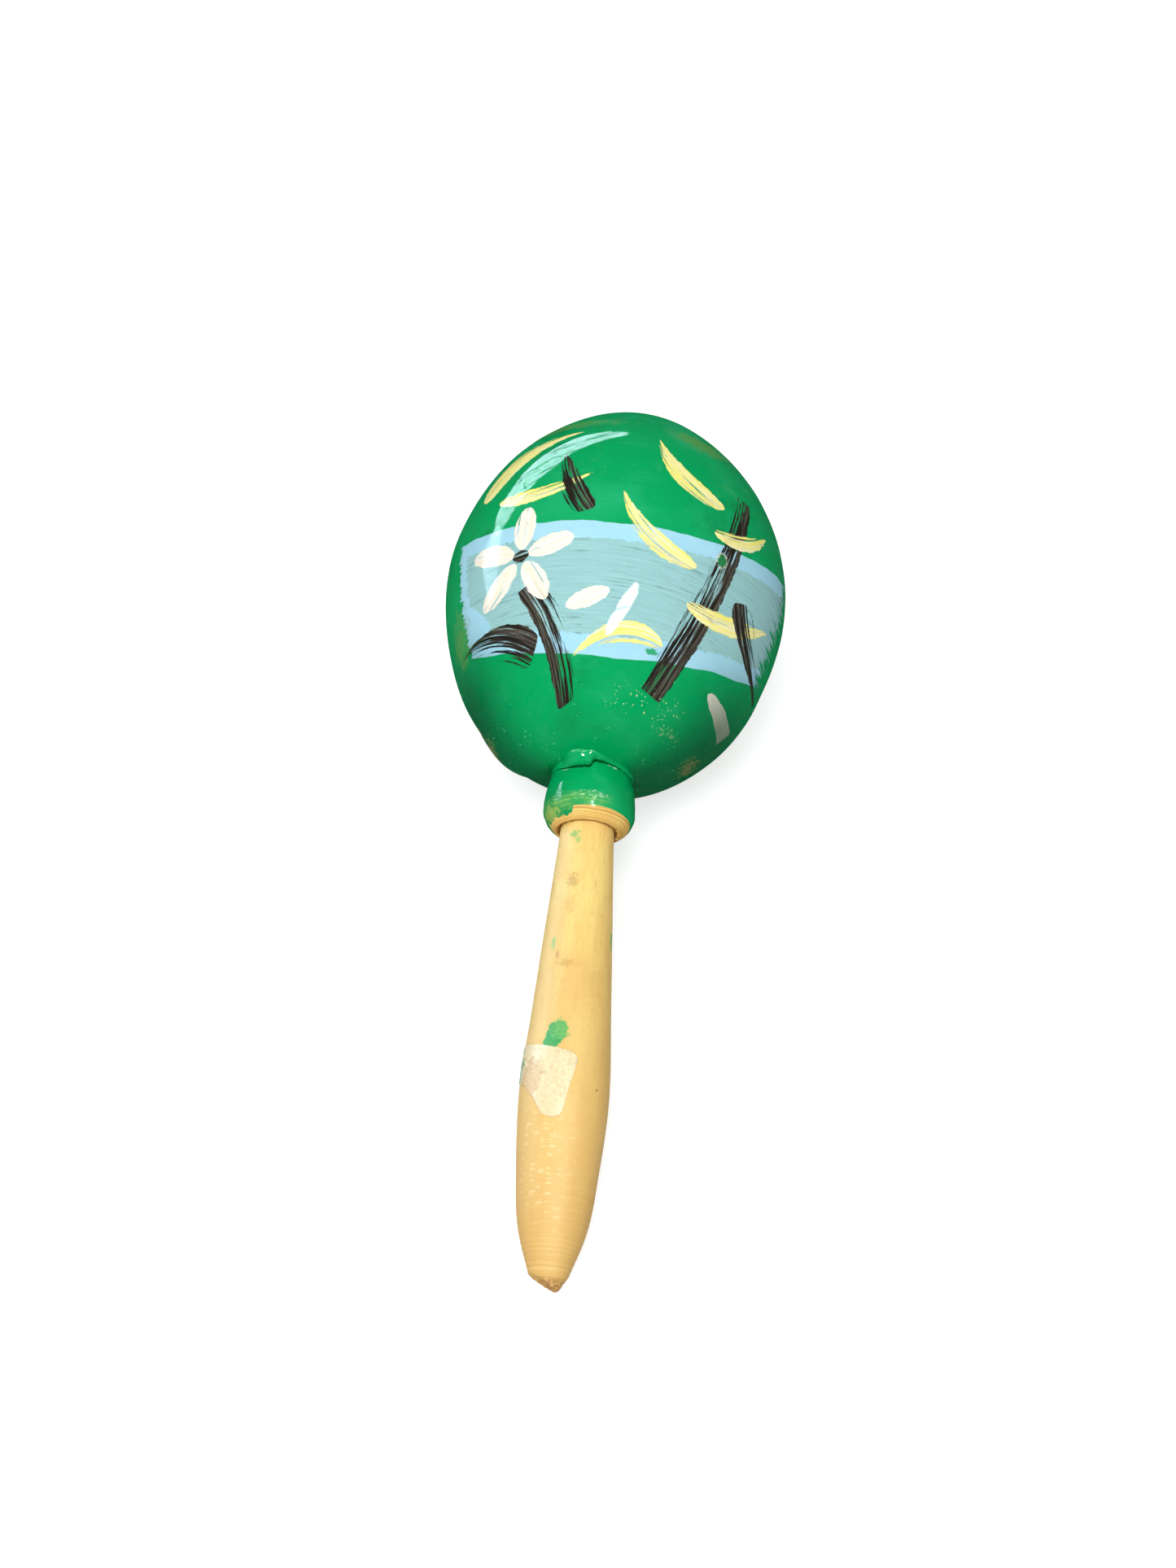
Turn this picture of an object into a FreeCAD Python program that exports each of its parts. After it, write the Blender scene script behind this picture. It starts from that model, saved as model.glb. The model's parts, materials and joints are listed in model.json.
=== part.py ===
"""A maraca lying on its side: a dried gourd full of seeds on a turned wooden handle.

Every piece is first made upright round the handle's axis, with heights measured from
the waist of the handle: the head is above 0 and the grip is below it. The whole
instrument is then laid down, so that +Y runs along it towards the head, +Z is up and
the origin is on the resting surface, in the middle of the outline. What is then the
upper side faces -Y while the instrument is upright.
"""
import FreeCAD, Part
import math
import os

# ---------------------------------------------------------------- driving dimensions, mm

# Dried gourd
HEAD_RADIUS = 48.3
HEAD_FOOT = 18.4          # height of the flat that was ground round its stem hole
FOOT_RADIUS = 11.2
HEAD_BELLY = 76.5         # height of the widest circle
HEAD_CROWN = 134.4        # height of the blossom end
WALL = 3.2                # thickness of the dried rind
HEAD_LEAN = 3.5           # degrees that the gourd sits askew on its handle, towards +X
HEAD_SHIFT = -1.2         # and how far its foot is off the handle's axis

# Collar ring
COLLAR_LOW = 1.2
COLLAR_TOP = 16.6
COLLAR_RADIUS = 12.4      # where the shoulder meets the band
COLLAR_TOP_RADIUS = 11.0
MOUTH_RADIUS = 8.3        # chipped mouth of its bore
MOUTH_DEPTH = 1.8
MOUTH_LIP = 0.35          # flat left between the mouth and the shoulder

# Handle
STEM_RADIUS = 7.1         # the straight stem through the collar and into the gourd
STEM_TOP = 32.0
GRIP_RADIUS = 11.4
GRIP_SWELL = -74.0        # height of the fattest part of the grip
STUB_START = -116.8       # where the tool left a stub between grip and lathe
GRIP_END = -120.6         # tip of that stub
STUB_SLOPE = 30.0         # degrees that the stub broke off askew
STUB_PEAK = 1.6           # how far off the axis the broken stub is longest

# Filler between the collar and the gourd
FILLER_RADIUS = 12.2
CRACK = 0.5               # height of the crack that has opened over the collar
CRACK_DEPTH = 1.5
CRACK_ARC = 110.0         # degrees of the rim that it runs round, on the upper side
LUMP_REACH = (10.6, 16.0) # where the dab of putty over it starts and ends
LUMP_PROUD = 0.9
LUMP_ARC = 70.0

# Scrap of clear tape on the grip
TAPE_WIDTH = 19.0
TAPE_TOP = -61.0
TAPE_THICK = 0.15
TAPE_TURN = -42.0         # degrees round the grip from its upper side to the scrap's middle

# How finely the curved outlines are stepped, and how many flat panels go round them
RIND_BANDS = 22
RIND_SIDES = 72
HOLLOW_BANDS = 9
HOLLOW_SIDES = 24
GRIP_BANDS = 18
WOOD_SIDES = 60

# Seeds in the gourd
SEED_HALF = (2.7, 2.35, 2.1)
SEED_PITCH = 6.3          # from seed to seed in the heap
SEED_GAP = 0.4            # from a seed to the rind that it rolls on
HEAP_HEIGHT = 62.0        # height of the heap's middle along the gourd
HEAP_TURN = -0.8          # degrees: the askew gourd's lowest line is a little to +X
LOWER_ROWS = 6
LOWER_PER_ROW = 4
UPPER_ROWS = 5
UPPER_PER_ROW = 3
LAYER_RISE = 4.3          # from the lower layer to the seeds that nestle on it


# ---------------------------------------------------------------- helpers

def vec(x, y, z):
    return FreeCAD.Vector(x, y, z)


def turned(outline, sides):
    """Carry a closed outline of (radius, height) points round the axis, in flat panels."""
    turns = [2 * math.pi * i / sides for i in range(sides)]
    rings = [[vec(r * math.cos(t), r * math.sin(t), z) for t in turns] for r, z in outline]
    panels = []
    for ring, following in zip(rings, rings[1:] + rings[:1]):
        for i in range(sides):
            corners = [ring[i - 1], ring[i], following[i], following[i - 1]]
            if ring[0] == ring[1]:
                corners.remove(ring[i])
            if following[0] == following[1]:
                corners.remove(following[i])
            if len(corners) > 2:
                panels.append(Part.Face(Part.makePolygon(corners + corners[:1])))
    solid = Part.makeSolid(Part.makeShell(panels))
    if solid.Volume < 0:
        solid.reverse()
    return solid.removeSplitter()


def arc_of(outline, degrees):
    """Revolve a closed outline through an arc whose middle is on the upper side, -Y."""
    corners = [vec(r, 0, z) for r, z in outline]
    face = Part.Face(Part.makePolygon(corners + corners[:1]))
    arc = face.revolve(vec(0, 0, 0), vec(0, 0, 1), degrees)
    arc.rotate(vec(0, 0, 0), vec(0, 0, 1), -90 - degrees / 2)
    return arc


def smooth_curve(points):
    """A spline through (radius, height) points."""
    curve = Part.BSplineCurve()
    curve.interpolate([vec(r, 0, z) for r, z in points])
    return curve


def bands(curve, count):
    """Evenly spaced points along a spline: each step turns into one narrow conical band."""
    first, last = curve.FirstParameter, curve.LastParameter
    points = [curve.value(first + (last - first) * i / count) for i in range(count + 1)]
    return [(p.x, p.z) for p in points]


# ---------------------------------------------------------------- outlines of the turned pieces

# A pear-shaped gourd is blunt at its foot and draws in more towards the blossom end.
RIND = smooth_curve([
    (FOOT_RADIUS, HEAD_FOOT),
    (22.8, 22.8),
    (35.0, 33.8),
    (45.0, 54.4),
    (HEAD_RADIUS, HEAD_BELLY),
    (45.1, 93.2),
    (38.4, 107.2),
    (28.8, 118.4),
    (18.5, 126.7),
    (9.4, 132.1),
    (0, HEAD_CROWN),
])

GRIP = smooth_curve([
    (7.22, 1.0),
    (8.75, -24.5),
    (10.2, -49.0),
    (GRIP_RADIUS, GRIP_SWELL),
    (10.4, -90.0),
    (8.4, -106.5),
    (5.0, STUB_START),
])


def hollow_outline(count):
    """The rind's outline moved inwards by the wall, from the axis round to the axis."""
    first, last = RIND.FirstParameter, RIND.LastParameter
    inner = [(0, HEAD_FOOT + WALL)]
    for i in range(1, count):
        at = first + (last - first) * i / count
        point = RIND.value(at)
        along = RIND.tangent(at)[0]
        inner.append((point.x - WALL * along.z, point.z + WALL * along.x))
    inner.append((0, HEAD_CROWN - WALL))
    return inner


HOLLOW = hollow_outline(HOLLOW_BANDS)


def radius_at(outline, height):
    """How far an outline of (radius, height) points stands from its axis at a height."""
    for (r1, z1), (r2, z2) in zip(outline, outline[1:]):
        if min(z1, z2) <= height <= max(z1, z2) and z1 != z2:
            return r1 + (r2 - r1) * (height - z1) / (z2 - z1)
    raise ValueError("no outline at height %g" % height)


# ---------------------------------------------------------------- pieces, upright

def make_handle():
    """One turned stick: grip, waist and stem, and the stub where it was parted off the lathe."""
    stub = [(3.7, GRIP_END + 2), (2.8, GRIP_END), (0, GRIP_END)]
    stem = [
        (0, STEM_TOP), (STEM_RADIUS - 1.2, STEM_TOP), (STEM_RADIUS, STEM_TOP - 1.6),
        (STEM_RADIUS, COLLAR_LOW + MOUTH_DEPTH),
    ]
    stick = turned(stem + bands(GRIP, GRIP_BANDS) + stub, WOOD_SIDES)
    # The stub snapped on a slant that leaves it longer on the +X side.
    waste = Part.makeBox(30, 30, 12, vec(-15, -15, -12))
    waste.rotate(vec(0, 0, 0), vec(0, 1, 0), STUB_SLOPE)
    waste.translate(vec(STUB_PEAK, 0, GRIP_END))
    return stick.cut(waste)


def make_collar():
    """The ring between grip and gourd: a tapered band, a shoulder and a chipped mouth."""
    lip = MOUTH_RADIUS + MOUTH_LIP
    widest = (COLLAR_RADIUS, 6.2)
    shoulder = smooth_curve([(lip, COLLAR_LOW), (11.1, 3.4), widest])
    band = smooth_curve([widest, (12.3, 9.5), (11.9, 13.2), (COLLAR_TOP_RADIUS, COLLAR_TOP)])
    bore = [
        (STEM_RADIUS, COLLAR_TOP), (STEM_RADIUS, COLLAR_LOW + MOUTH_DEPTH),
        (MOUTH_RADIUS, COLLAR_LOW),
    ]
    return turned(bands(shoulder, 4) + bands(band, 5)[1:] + bore, WOOD_SIDES)


def on_gourd(shape):
    """Set a piece of the gourd askew on the handle, as the gourd is."""
    tipped = shape.copy()
    tipped.rotate(vec(0, 0, HEAD_FOOT), vec(0, 1, 0), HEAD_LEAN)
    tipped.translate(vec(HEAD_SHIFT, 0, 0))
    return tipped


def make_gourd():
    """The gourd's outside as one solid, and the hollow rind itself with its stem hole."""
    whole = on_gourd(turned([(0, HEAD_FOOT)] + bands(RIND, RIND_BANDS), RIND_SIDES))
    outwards = 1 / math.cos(math.pi / HOLLOW_SIDES)
    hollow = on_gourd(turned([(r * outwards, z) for r, z in HOLLOW], HOLLOW_SIDES))
    hole = turned([(0, 0), (STEM_RADIUS, 0), (STEM_RADIUS, STEM_TOP), (0, STEM_TOP)], WOOD_SIDES)
    return whole, whole.cut(hollow).cut(hole)


def make_filler(collar, gourd):
    """Glue and putty bedded between collar and gourd, cracked where the head worked loose."""
    top = HEAD_FOOT + 1.6
    ring = turned([
        (STEM_RADIUS, COLLAR_TOP), (COLLAR_TOP_RADIUS + 0.1, COLLAR_TOP),
        (FILLER_RADIUS, HEAD_FOOT + 0.2), (FILLER_RADIUS, top), (STEM_RADIUS, top),
    ], WOOD_SIDES)
    inner, outer = LUMP_REACH
    lump = arc_of([
        (inner, HEAD_FOOT - LUMP_PROUD), (inner + 2.2, HEAD_FOOT - 0.5 * LUMP_PROUD),
        (outer, HEAD_FOOT + 2.0), (outer, HEAD_FOOT + 4.0), (inner, HEAD_FOOT + 4.0),
    ], LUMP_ARC)
    crack = arc_of([
        (COLLAR_TOP_RADIUS - CRACK_DEPTH, COLLAR_TOP), (FILLER_RADIUS + 1, COLLAR_TOP),
        (FILLER_RADIUS + 1, COLLAR_TOP + CRACK), (COLLAR_TOP_RADIUS - CRACK_DEPTH, COLLAR_TOP + CRACK),
    ], CRACK_ARC)
    return ring.fuse(lump).cut([gourd, collar, crack])


def make_tape():
    """A thin torn scrap that follows the swell of the grip."""
    grip = bands(GRIP, GRIP_BANDS)
    low, high = TAPE_TOP - TAPE_WIDTH - 2, TAPE_TOP + 2
    under = [(r, z) for r, z in grip if low < z < high]
    under = [(radius_at(grip, high), high)] + under + [(radius_at(grip, low), low)]
    over = [(r + TAPE_THICK, z) for r, z in reversed(under)]
    sleeve = turned(under + over, WOOD_SIDES)
    # The torn outline, drawn flat as (across, height) in the view square to its middle.
    corners = [
        (-9.3, 0.9), (0, -0.8), (6.8, -2.3), (8.6, -3.0), (9.6, -4.6), (9.4, -7.8), (8.8, -12.0),
        (7.9, -18.6), (6.9, -19.8), (3.6, -19.2), (0.9, -15.0), (-2.9, -11.2), (-9.3, -8.4),
    ]
    rim = [vec(across, -2.0, TAPE_TOP + drop) for across, drop in corners]
    punch = Part.Face(Part.makePolygon(rim + rim[:1])).extrude(vec(0, -20, 0))
    punch.rotate(vec(0, 0, 0), vec(0, 0, 1), TAPE_TURN)
    return sleeve.common(punch)


def make_seed(spin):
    """A hard seed as a faceted egg, long side first, turned about its short side."""
    sides = 6
    half_x, half_y, half_z = SEED_HALF
    rings = []
    for level in (-0.68, 0.0, 0.68):
        girth = math.sqrt(1 - level * level)
        offset = 0.0 if level else math.pi / sides
        turns = [2 * math.pi * i / sides + offset for i in range(sides)]
        ring = [vec(half_x * girth * math.cos(t), half_y * girth * math.sin(t), half_z * level)
                for t in turns]
        rings.append(ring)
    faces = []
    for i in range(sides):
        j = (i + 1) % sides
        low, middle, high = rings
        faces += [
            (vec(0, 0, -half_z), low[j], low[i]), (vec(0, 0, half_z), high[i], high[j]),
            (low[i], low[j], middle[i]), (low[j], middle[j], middle[i]),
            (high[j], high[i], middle[i]), (high[j], middle[i], middle[j]),
        ]
    facets = [Part.Face(Part.makePolygon([a, b, c, a])) for a, b, c in faces]
    seed = Part.makeSolid(Part.makeShell(facets))
    seed.rotate(vec(0, 0, 0), vec(0, 0, 1), spin)
    return seed


def seat_seed(seed, height, round_angle, lift):
    """Lay a seed on the inside of the rind, on the side that faces down."""
    reach = 2 * SEED_PITCH
    below, above = radius_at(HOLLOW, height - reach), radius_at(HOLLOW, height + reach)
    wall = vec(radius_at(HOLLOW, height), 0, height)
    inwards = vec(-2 * reach, 0, above - below).normalize()
    placed = seed.copy()
    placed.Placement = FreeCAD.Placement(
        wall + inwards * (SEED_HALF[2] + SEED_GAP + lift),
        FreeCAD.Rotation(vec(0, 0, 1), inwards),
    ).multiply(seed.Placement)
    placed.rotate(vec(0, 0, 0), vec(0, 0, 1), 90 + round_angle)
    return placed


def make_layer(rows, per_row, lift):
    """One layer of the heap: rows along the gourd, each spread round the low side."""
    layer = []
    for row in range(rows):
        height = HEAP_HEIGHT + (row - (rows - 1) / 2) * SEED_PITCH
        step = math.degrees(SEED_PITCH / (radius_at(HOLLOW, height) - SEED_HALF[0] - lift))
        for place in range(per_row):
            angle = HEAP_TURN + (place - (per_row - 1) / 2) * step
            seed = make_seed(spin=67.0 * len(layer))
            layer.append(seat_seed(seed, height, angle, lift))
    return layer


# ---------------------------------------------------------------- laying it down

def lying_angle(gourd, handle):
    """Degrees that the handle's axis rises when belly and grip both touch the table."""
    belly = gourd.tessellate(0.02)[0]
    grip = handle.tessellate(0.02)[0]
    low, high = 5.0, 25.0
    for _ in range(40):
        middle = (low + high) / 2
        rise = math.radians(middle)
        sine, cosine = math.sin(rise), math.cos(rise)
        belly_low = min(p.z * sine - p.y * cosine for p in belly)
        grip_low = min(p.z * sine - p.y * cosine for p in grip)
        if belly_low < grip_low:
            low = middle
        else:
            high = middle
    return low


def laid_down(pieces):
    """Lay the upright pieces on their side and centre them over the origin."""
    rise = lying_angle(pieces["gourd"], pieces["handle"])
    swing = FreeCAD.Placement(vec(0, 0, 0), FreeCAD.Rotation(vec(1, 0, 0), rise - 90))
    for shape in pieces.values():
        shape.Placement = swing.multiply(shape.Placement)
    corners = pieces["gourd"].tessellate(0.02)[0] + pieces["handle"].tessellate(0.02)[0]
    middle_x = (min(p.x for p in corners) + max(p.x for p in corners)) / 2
    middle_y = (min(p.y for p in corners) + max(p.y for p in corners)) / 2
    shift = vec(-middle_x, -middle_y, -min(p.z for p in corners))
    for shape in pieces.values():
        shape.translate(shift)
    origin = swing.multVec(vec(0, 0, 0)) + shift
    print("handle's axis rises %.3f degrees; its waist is at %.3f %.3f %.3f"
          % (rise, origin.x, origin.y, origin.z))
    return pieces


def main():
    os.makedirs("parts", exist_ok=True)
    collar = make_collar()
    whole_gourd, gourd = make_gourd()
    pieces = {
        "handle": make_handle(),
        "collar": collar,
        "gourd": gourd,
        "neck_filler": make_filler(collar, whole_gourd),
        "tape_scrap": make_tape(),
    }
    lower = make_layer(LOWER_ROWS, LOWER_PER_ROW, 0.0)
    upper = make_layer(UPPER_ROWS, UPPER_PER_ROW, LAYER_RISE)
    for number, seed in enumerate(lower, 1):
        pieces["seed_low_%02d" % number] = on_gourd(seed)
    for number, seed in enumerate(upper, 1):
        pieces["seed_top_%02d" % number] = on_gourd(seed)
    for name, shape in laid_down(pieces).items():
        shape.exportStep("parts/%s.step" % name)
        print("%-12s %9.1f mm3, %d solid(s)" % (name, shape.Volume, len(shape.Solids)))


main()
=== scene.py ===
# %% [markdown]
# # A painted maraca lying on its side
# The maraca is a dried gourd full of seeds, pushed onto a turned wooden handle and painted.
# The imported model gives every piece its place. This lesson dresses each of them: first the
# shapes, then the paint and the wood, then the light and the camera.

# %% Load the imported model
import json
import math
import bpy
import bmesh
from mathutils import Matrix, Vector, noise


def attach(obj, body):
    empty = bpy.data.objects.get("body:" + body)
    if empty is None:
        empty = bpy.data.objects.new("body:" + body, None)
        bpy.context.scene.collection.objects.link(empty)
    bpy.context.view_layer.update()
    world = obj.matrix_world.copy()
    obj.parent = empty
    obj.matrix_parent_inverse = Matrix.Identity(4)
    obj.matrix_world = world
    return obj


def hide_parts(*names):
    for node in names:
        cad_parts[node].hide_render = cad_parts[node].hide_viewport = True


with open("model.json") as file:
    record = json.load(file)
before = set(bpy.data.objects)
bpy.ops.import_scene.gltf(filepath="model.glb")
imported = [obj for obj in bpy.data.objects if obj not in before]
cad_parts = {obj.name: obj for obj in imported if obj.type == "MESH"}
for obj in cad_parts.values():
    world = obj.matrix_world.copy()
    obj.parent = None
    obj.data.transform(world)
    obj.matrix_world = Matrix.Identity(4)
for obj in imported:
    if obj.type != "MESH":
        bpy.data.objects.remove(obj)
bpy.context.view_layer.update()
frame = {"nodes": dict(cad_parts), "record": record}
print("packed pieces:", len(frame["nodes"]))

# %% [markdown]
# ## Where the pieces stand
# The handle was turned on a lathe, so everything about it is easiest to say round its own
# axis: a turn round it, a radius and a height. Height 0 is the waist below the collar. The
# grip mount in the record lies on that axis, and tells where it is and which way it points.

# %% Find the handle's own frame
MM = 0.001
GRIP_SWELL = -74.0        # height of the fattest part of the grip, where its mount is
mounts = {mount["name"]: mount for mount in frame["record"]["mounts"]}
towards_head = -Vector(mounts["grip"]["axis"]).normalized()
sideways = Vector((1, 0, 0))
downwards = towards_head.cross(sideways)
handle_place = Matrix((sideways, downwards, towards_head)).transposed().to_4x4()
handle_place.translation = Vector(mounts["grip"]["pos_m"]) - GRIP_SWELL * MM * towards_head
print("the axis rises", round(math.degrees(math.asin(towards_head.z)), 2), "degrees")

# %% Find the gourd's frame: it sits a little askew
HEAD_FOOT = 18.4          # height of the flat round the stem hole
HEAD_LEAN = 3.5           # degrees
HEAD_SHIFT = -1.2


def along(height, across=0.0):
    return Matrix.Translation(Vector((across, 0, height)) * MM)


askew = Matrix.Rotation(math.radians(HEAD_LEAN), 4, "Y")
gourd_place = handle_place @ along(HEAD_FOOT, HEAD_SHIFT) @ askew @ along(-HEAD_FOOT)
print("middle of the foot:", [round(c, 4) for c in gourd_place @ Vector((0, 0, HEAD_FOOT * MM))])

# %% [markdown]
# ## Turned shapes
# Most of the maraca is round, so one function makes nearly all of it. It takes an outline of
# (radius, height) points and spins it. A second function, different for each piece, then
# moves every point a little: that is how a chip, a dent or a broken end gets into a shape
# that would otherwise be too perfect. Each mesh also remembers where its points were while
# it stood upright, in millimetres, in an attribute that the paint and the grain read later.


# %% Draw a smooth outline through a few points
def flowing(points, steps, start=None):
    """Points of a smooth line through (radius, height) points, with steps to each span."""
    knots = [Vector(p) for p in points]
    spans = [(b - a).length for a, b in zip(knots, knots[1:])]
    slopes = [(b - a) / d for a, b, d in zip(knots, knots[1:], spans)]
    leads = [Vector(start).normalized() if start else slopes[0]]
    for i in range(1, len(spans)):
        mixed = slopes[i - 1] * spans[i] + slopes[i] * spans[i - 1]
        leads.append(mixed / (spans[i - 1] + spans[i]))
    leads.append(slopes[-1])
    line = []
    for i, span in enumerate(spans):
        for step in range(steps):
            t = step / steps
            line.append(
                knots[i] * (1 + 2 * t) * (1 - t) ** 2 + leads[i] * span * t * (1 - t) ** 2
                + knots[i + 1] * t * t * (3 - 2 * t) + leads[i + 1] * span * t * t * (t - 1)
            )
    return [tuple(p) for p in line] + [tuple(knots[-1])]


# %% Spin an outline into a mesh
def from_upper(turn, radius, height):
    """The point at a turn from the upper side, positive to the right, in millimetres."""
    angle = math.radians(turn)
    return Vector((radius * math.sin(angle), -radius * math.cos(angle), height))


def turned(name, outline, turns, place, shape, loop=False):
    """Spin (radius, height) points through the turns; shape(turn, radius, height) bends them."""
    mesh = bmesh.new()
    rings = []
    for radius, height in outline:
        if radius == 0:
            rings.append([mesh.verts.new(from_upper(0, *shape(0, 0, height)))] * len(turns))
        else:
            rings.append([mesh.verts.new(from_upper(t, *shape(t, radius, height)))
                          for t in turns])
    pairs = list(zip(rings, rings[1:]))
    if loop:
        pairs.append((rings[-1], rings[0]))
    for low, high in pairs:
        for i in range(len(turns)):
            j = (i + 1) % len(turns)
            corners = dict.fromkeys((low[i], low[j], high[j], high[i]))
            if len(corners) > 2:
                mesh.faces.new(corners)
    return finished(name, mesh, place)


SHARP = 35.0              # degrees; edges that bend more than this stay edges


def finished(name, mesh, place):
    """Set a mesh made upright, in millimetres, in its place, smooth-shaded and riding."""
    bmesh.ops.recalc_face_normals(mesh, faces=mesh.faces)
    data = bpy.data.meshes.new(name)
    mesh.to_mesh(data)
    mesh.free()
    upright = data.attributes.new("upright", "FLOAT_VECTOR", "POINT")
    upright.data.foreach_set("vector", [c for vertex in data.vertices for c in vertex.co])
    data.transform(place @ Matrix.Scale(MM, 4))
    data.shade_smooth()
    data.set_sharp_from_angle(angle=math.radians(SHARP))
    piece = bpy.data.objects.new(name, data)
    bpy.context.scene.collection.objects.link(piece)
    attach(piece, "maraca")
    print(name, len(data.vertices), "points,", len(data.polygons), "faces")
    return piece


# %% Small helpers for dents and ragged edges
def even_turns(count):
    return [360 * i / count - 180 for i in range(count)]


def bell(value, middle, width):
    """1 at the middle, falling smoothly away over about the width."""
    return math.exp(-((value - middle) / width) ** 2)


def ragged(turn, grain, seed=0.0):
    """A rough line round a circle, from -1 to 1: the same at -180 and 180 degrees."""
    angle = math.radians(turn)
    return noise.noise(Vector((math.cos(angle) * grain, math.sin(angle) * grain, seed)))


# %% [markdown]
# ## The gourd
# The rind is a pear shape, blunt at the foot and drawn in at the blossom end. Sculpting a
# sphere would work too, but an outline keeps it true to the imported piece. It is a real shell
# with an inside wall, since the seeds roll in there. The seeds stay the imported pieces.
# The columns are closer on the upper side, where small marks have to show.

# %% Draw the rind's outline, out and back
WALL = 3.2
STEM_RADIUS = 7.1
FOOT_RADIUS = 11.2
HEAD_CROWN = 134.4
RIND = flowing(
    [(FOOT_RADIUS, HEAD_FOOT), (22.8, 22.8), (35.0, 33.8), (45.0, 54.4), (48.3, 76.5),
     (45.1, 93.2), (38.4, 107.2), (28.8, 118.4), (18.5, 126.7), (9.4, 132.1), (0, HEAD_CROWN)],
    steps=20, start=(1, 0.3),
)


def inset(outline, depth):
    """Every fifth point of the outline moved inwards, back from the crown to the foot."""
    inner = []
    for before, after in zip(outline[::5], outline[5::5]):
        way = (Vector(after) - Vector(before)).normalized()
        middle = (Vector(after) + Vector(before)) / 2
        inner.append((middle.x - depth * way.y, middle.y + depth * way.x))
    return [p for p in reversed(inner) if p[0] > STEM_RADIUS + 1]


rind_loop = [(STEM_RADIUS + 0.05, HEAD_FOOT), (9.0, HEAD_FOOT)] + RIND
rind_loop += [(0, HEAD_CROWN - WALL)] + inset(RIND, WALL)
rind_loop += [(STEM_RADIUS + 0.05, HEAD_FOOT + WALL)]
print("the outline has", len(rind_loop), "points")

# %% Shape the gourd with its dents and its wart
WART_TURN, WART_RADIUS, WART_HEIGHT = 38.4, 47.6, 67.3
FOOT_ZONE, CROWN_ZONE = 30.0, 110.0     # heights below and above which the ends are reshaped


def gourd_shape(turn, radius, height):
    """Grown, not turned: slow hollows, a dent, full lower sides and one wart in the paint."""
    spot = from_upper(turn, radius, height)
    hollow = 0.24 + 0.18 * noise.noise(spot * 0.035) + 0.08 * noise.noise(spot * 0.11)
    dent = 0.5 * bell(turn, -64, 16) * bell(height, 92, 14)
    far = Vector((math.radians(turn - WART_TURN) * radius, height - WART_HEIGHT)).length
    wart = 0.85 * math.exp(-(far / 1.6) ** 2) - 0.50 * math.exp(-(far / 0.7) ** 2)
    reach = min(1.0, radius / 30)
    sunk = 0.30 * (1 - reach) if height > 100 else 0.0
    left, right = bell(turn, -88, 42), bell(turn, 88, 34)
    bulge = 2.0 * left * bell(height, 22, 7) + 0.7 * right * bell(height, 42, 10)
    if height < FOOT_ZONE:
        sunk += 2.7 * left * bell(radius, 17, 10)
    if height > CROWN_ZONE:
        sunk -= (0.9 + 0.5 * left) * bell(radius, 20, 11)
    return radius - (hollow + dent) * reach + bulge + wart, height - sunk


wart_turns = [34 + i / 2 for i in range(19)]
close_turns = list(range(-100, 34)) + wart_turns + list(range(44, 101))
wide_turns = [100 + 160 * i / 64 for i in range(1, 64)]
gourd = turned("gourd_shell", rind_loop, close_turns + wide_turns, gourd_place, gourd_shape,
               loop=True)
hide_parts("gourd")

# %% [markdown]
# ## The handle
# One stick from a lathe. The tool left fine rings near the tip, and the last few fibres were
# never cut: the stick was snapped off, which left a slanted stub. The stub is made by lifting
# every point that lies below a slanted plane onto it, with some splinters added.

# %% Turn the handle and break its tip
COLLAR_LOW = 1.2
STUB_START, GRIP_END = -116.8, -120.6
STUB_SLOPE, STUB_PEAK = 30.0, 1.6       # degrees; how far to the right its lowest point is
TOOL_MARKS = -92.0                      # they start here and are deepest at the stub
GRIP = flowing(
    [(7.22, 1.0), (8.75, -24.5), (10.2, -49.0), (11.4, GRIP_SWELL), (10.4, -90.0),
     (8.4, -106.5), (5.0, STUB_START)],
    steps=34,
)


def grip_radius(height):
    """The handle's radius at a height between its waist and its stub."""
    for (upper_r, upper_z), (lower_r, lower_z) in zip(GRIP, GRIP[1:]):
        if lower_z <= height <= upper_z:
            return upper_r + (lower_r - upper_r) * (upper_z - height) / (upper_z - lower_z)
    return GRIP[0][0]


def handle_shape(turn, radius, height):
    """Tool marks that deepen towards the tip, and the stub snapped off along its fibres."""
    if height > -1:
        return radius, height
    tool = max(0.0, min(1.0, (TOOL_MARKS - height) / 24))
    ring = 0.5 + 0.5 * math.sin(height * 4.6 + 0.7 * math.sin(height * 1.3))
    radius -= 0.02 + 0.10 * tool * ring + 0.05 * (1 + ragged(turn, 2.0, height * 0.05))
    radius = max(radius, 0.0)
    spot = from_upper(turn, radius, height)
    break_line = GRIP_END + max(0.0, STUB_PEAK - spot.x) * math.tan(math.radians(STUB_SLOPE))
    fibres = noise.noise(Vector((spot.x * 1.9, spot.y * 1.9, 4.0)))
    splinter = 0.45 * (1 + fibres) * min(1.0, max(0.0, (STUB_START - height) / 2.5))
    return radius, max(height, break_line + splinter + 0.02)


stem = [(0, 32.0), (5.9, 32.0), (STEM_RADIUS, 30.4), (STEM_RADIUS, 16.0), (STEM_RADIUS, 3.0)]
stub = [(4.6, -117.4), (4.2, -118.0), (3.8, -118.6), (3.5, -119.2), (3.2, -119.8)]
stub += [(2.8, GRIP_END)]
stub += [(r, GRIP_END) for r in (2.3, 1.8, 1.3, 0.8, 0.4, 0)]
handle = turned("turned_handle", stem + GRIP + stub, even_turns(150), handle_place, handle_shape)
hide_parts("handle")

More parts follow.
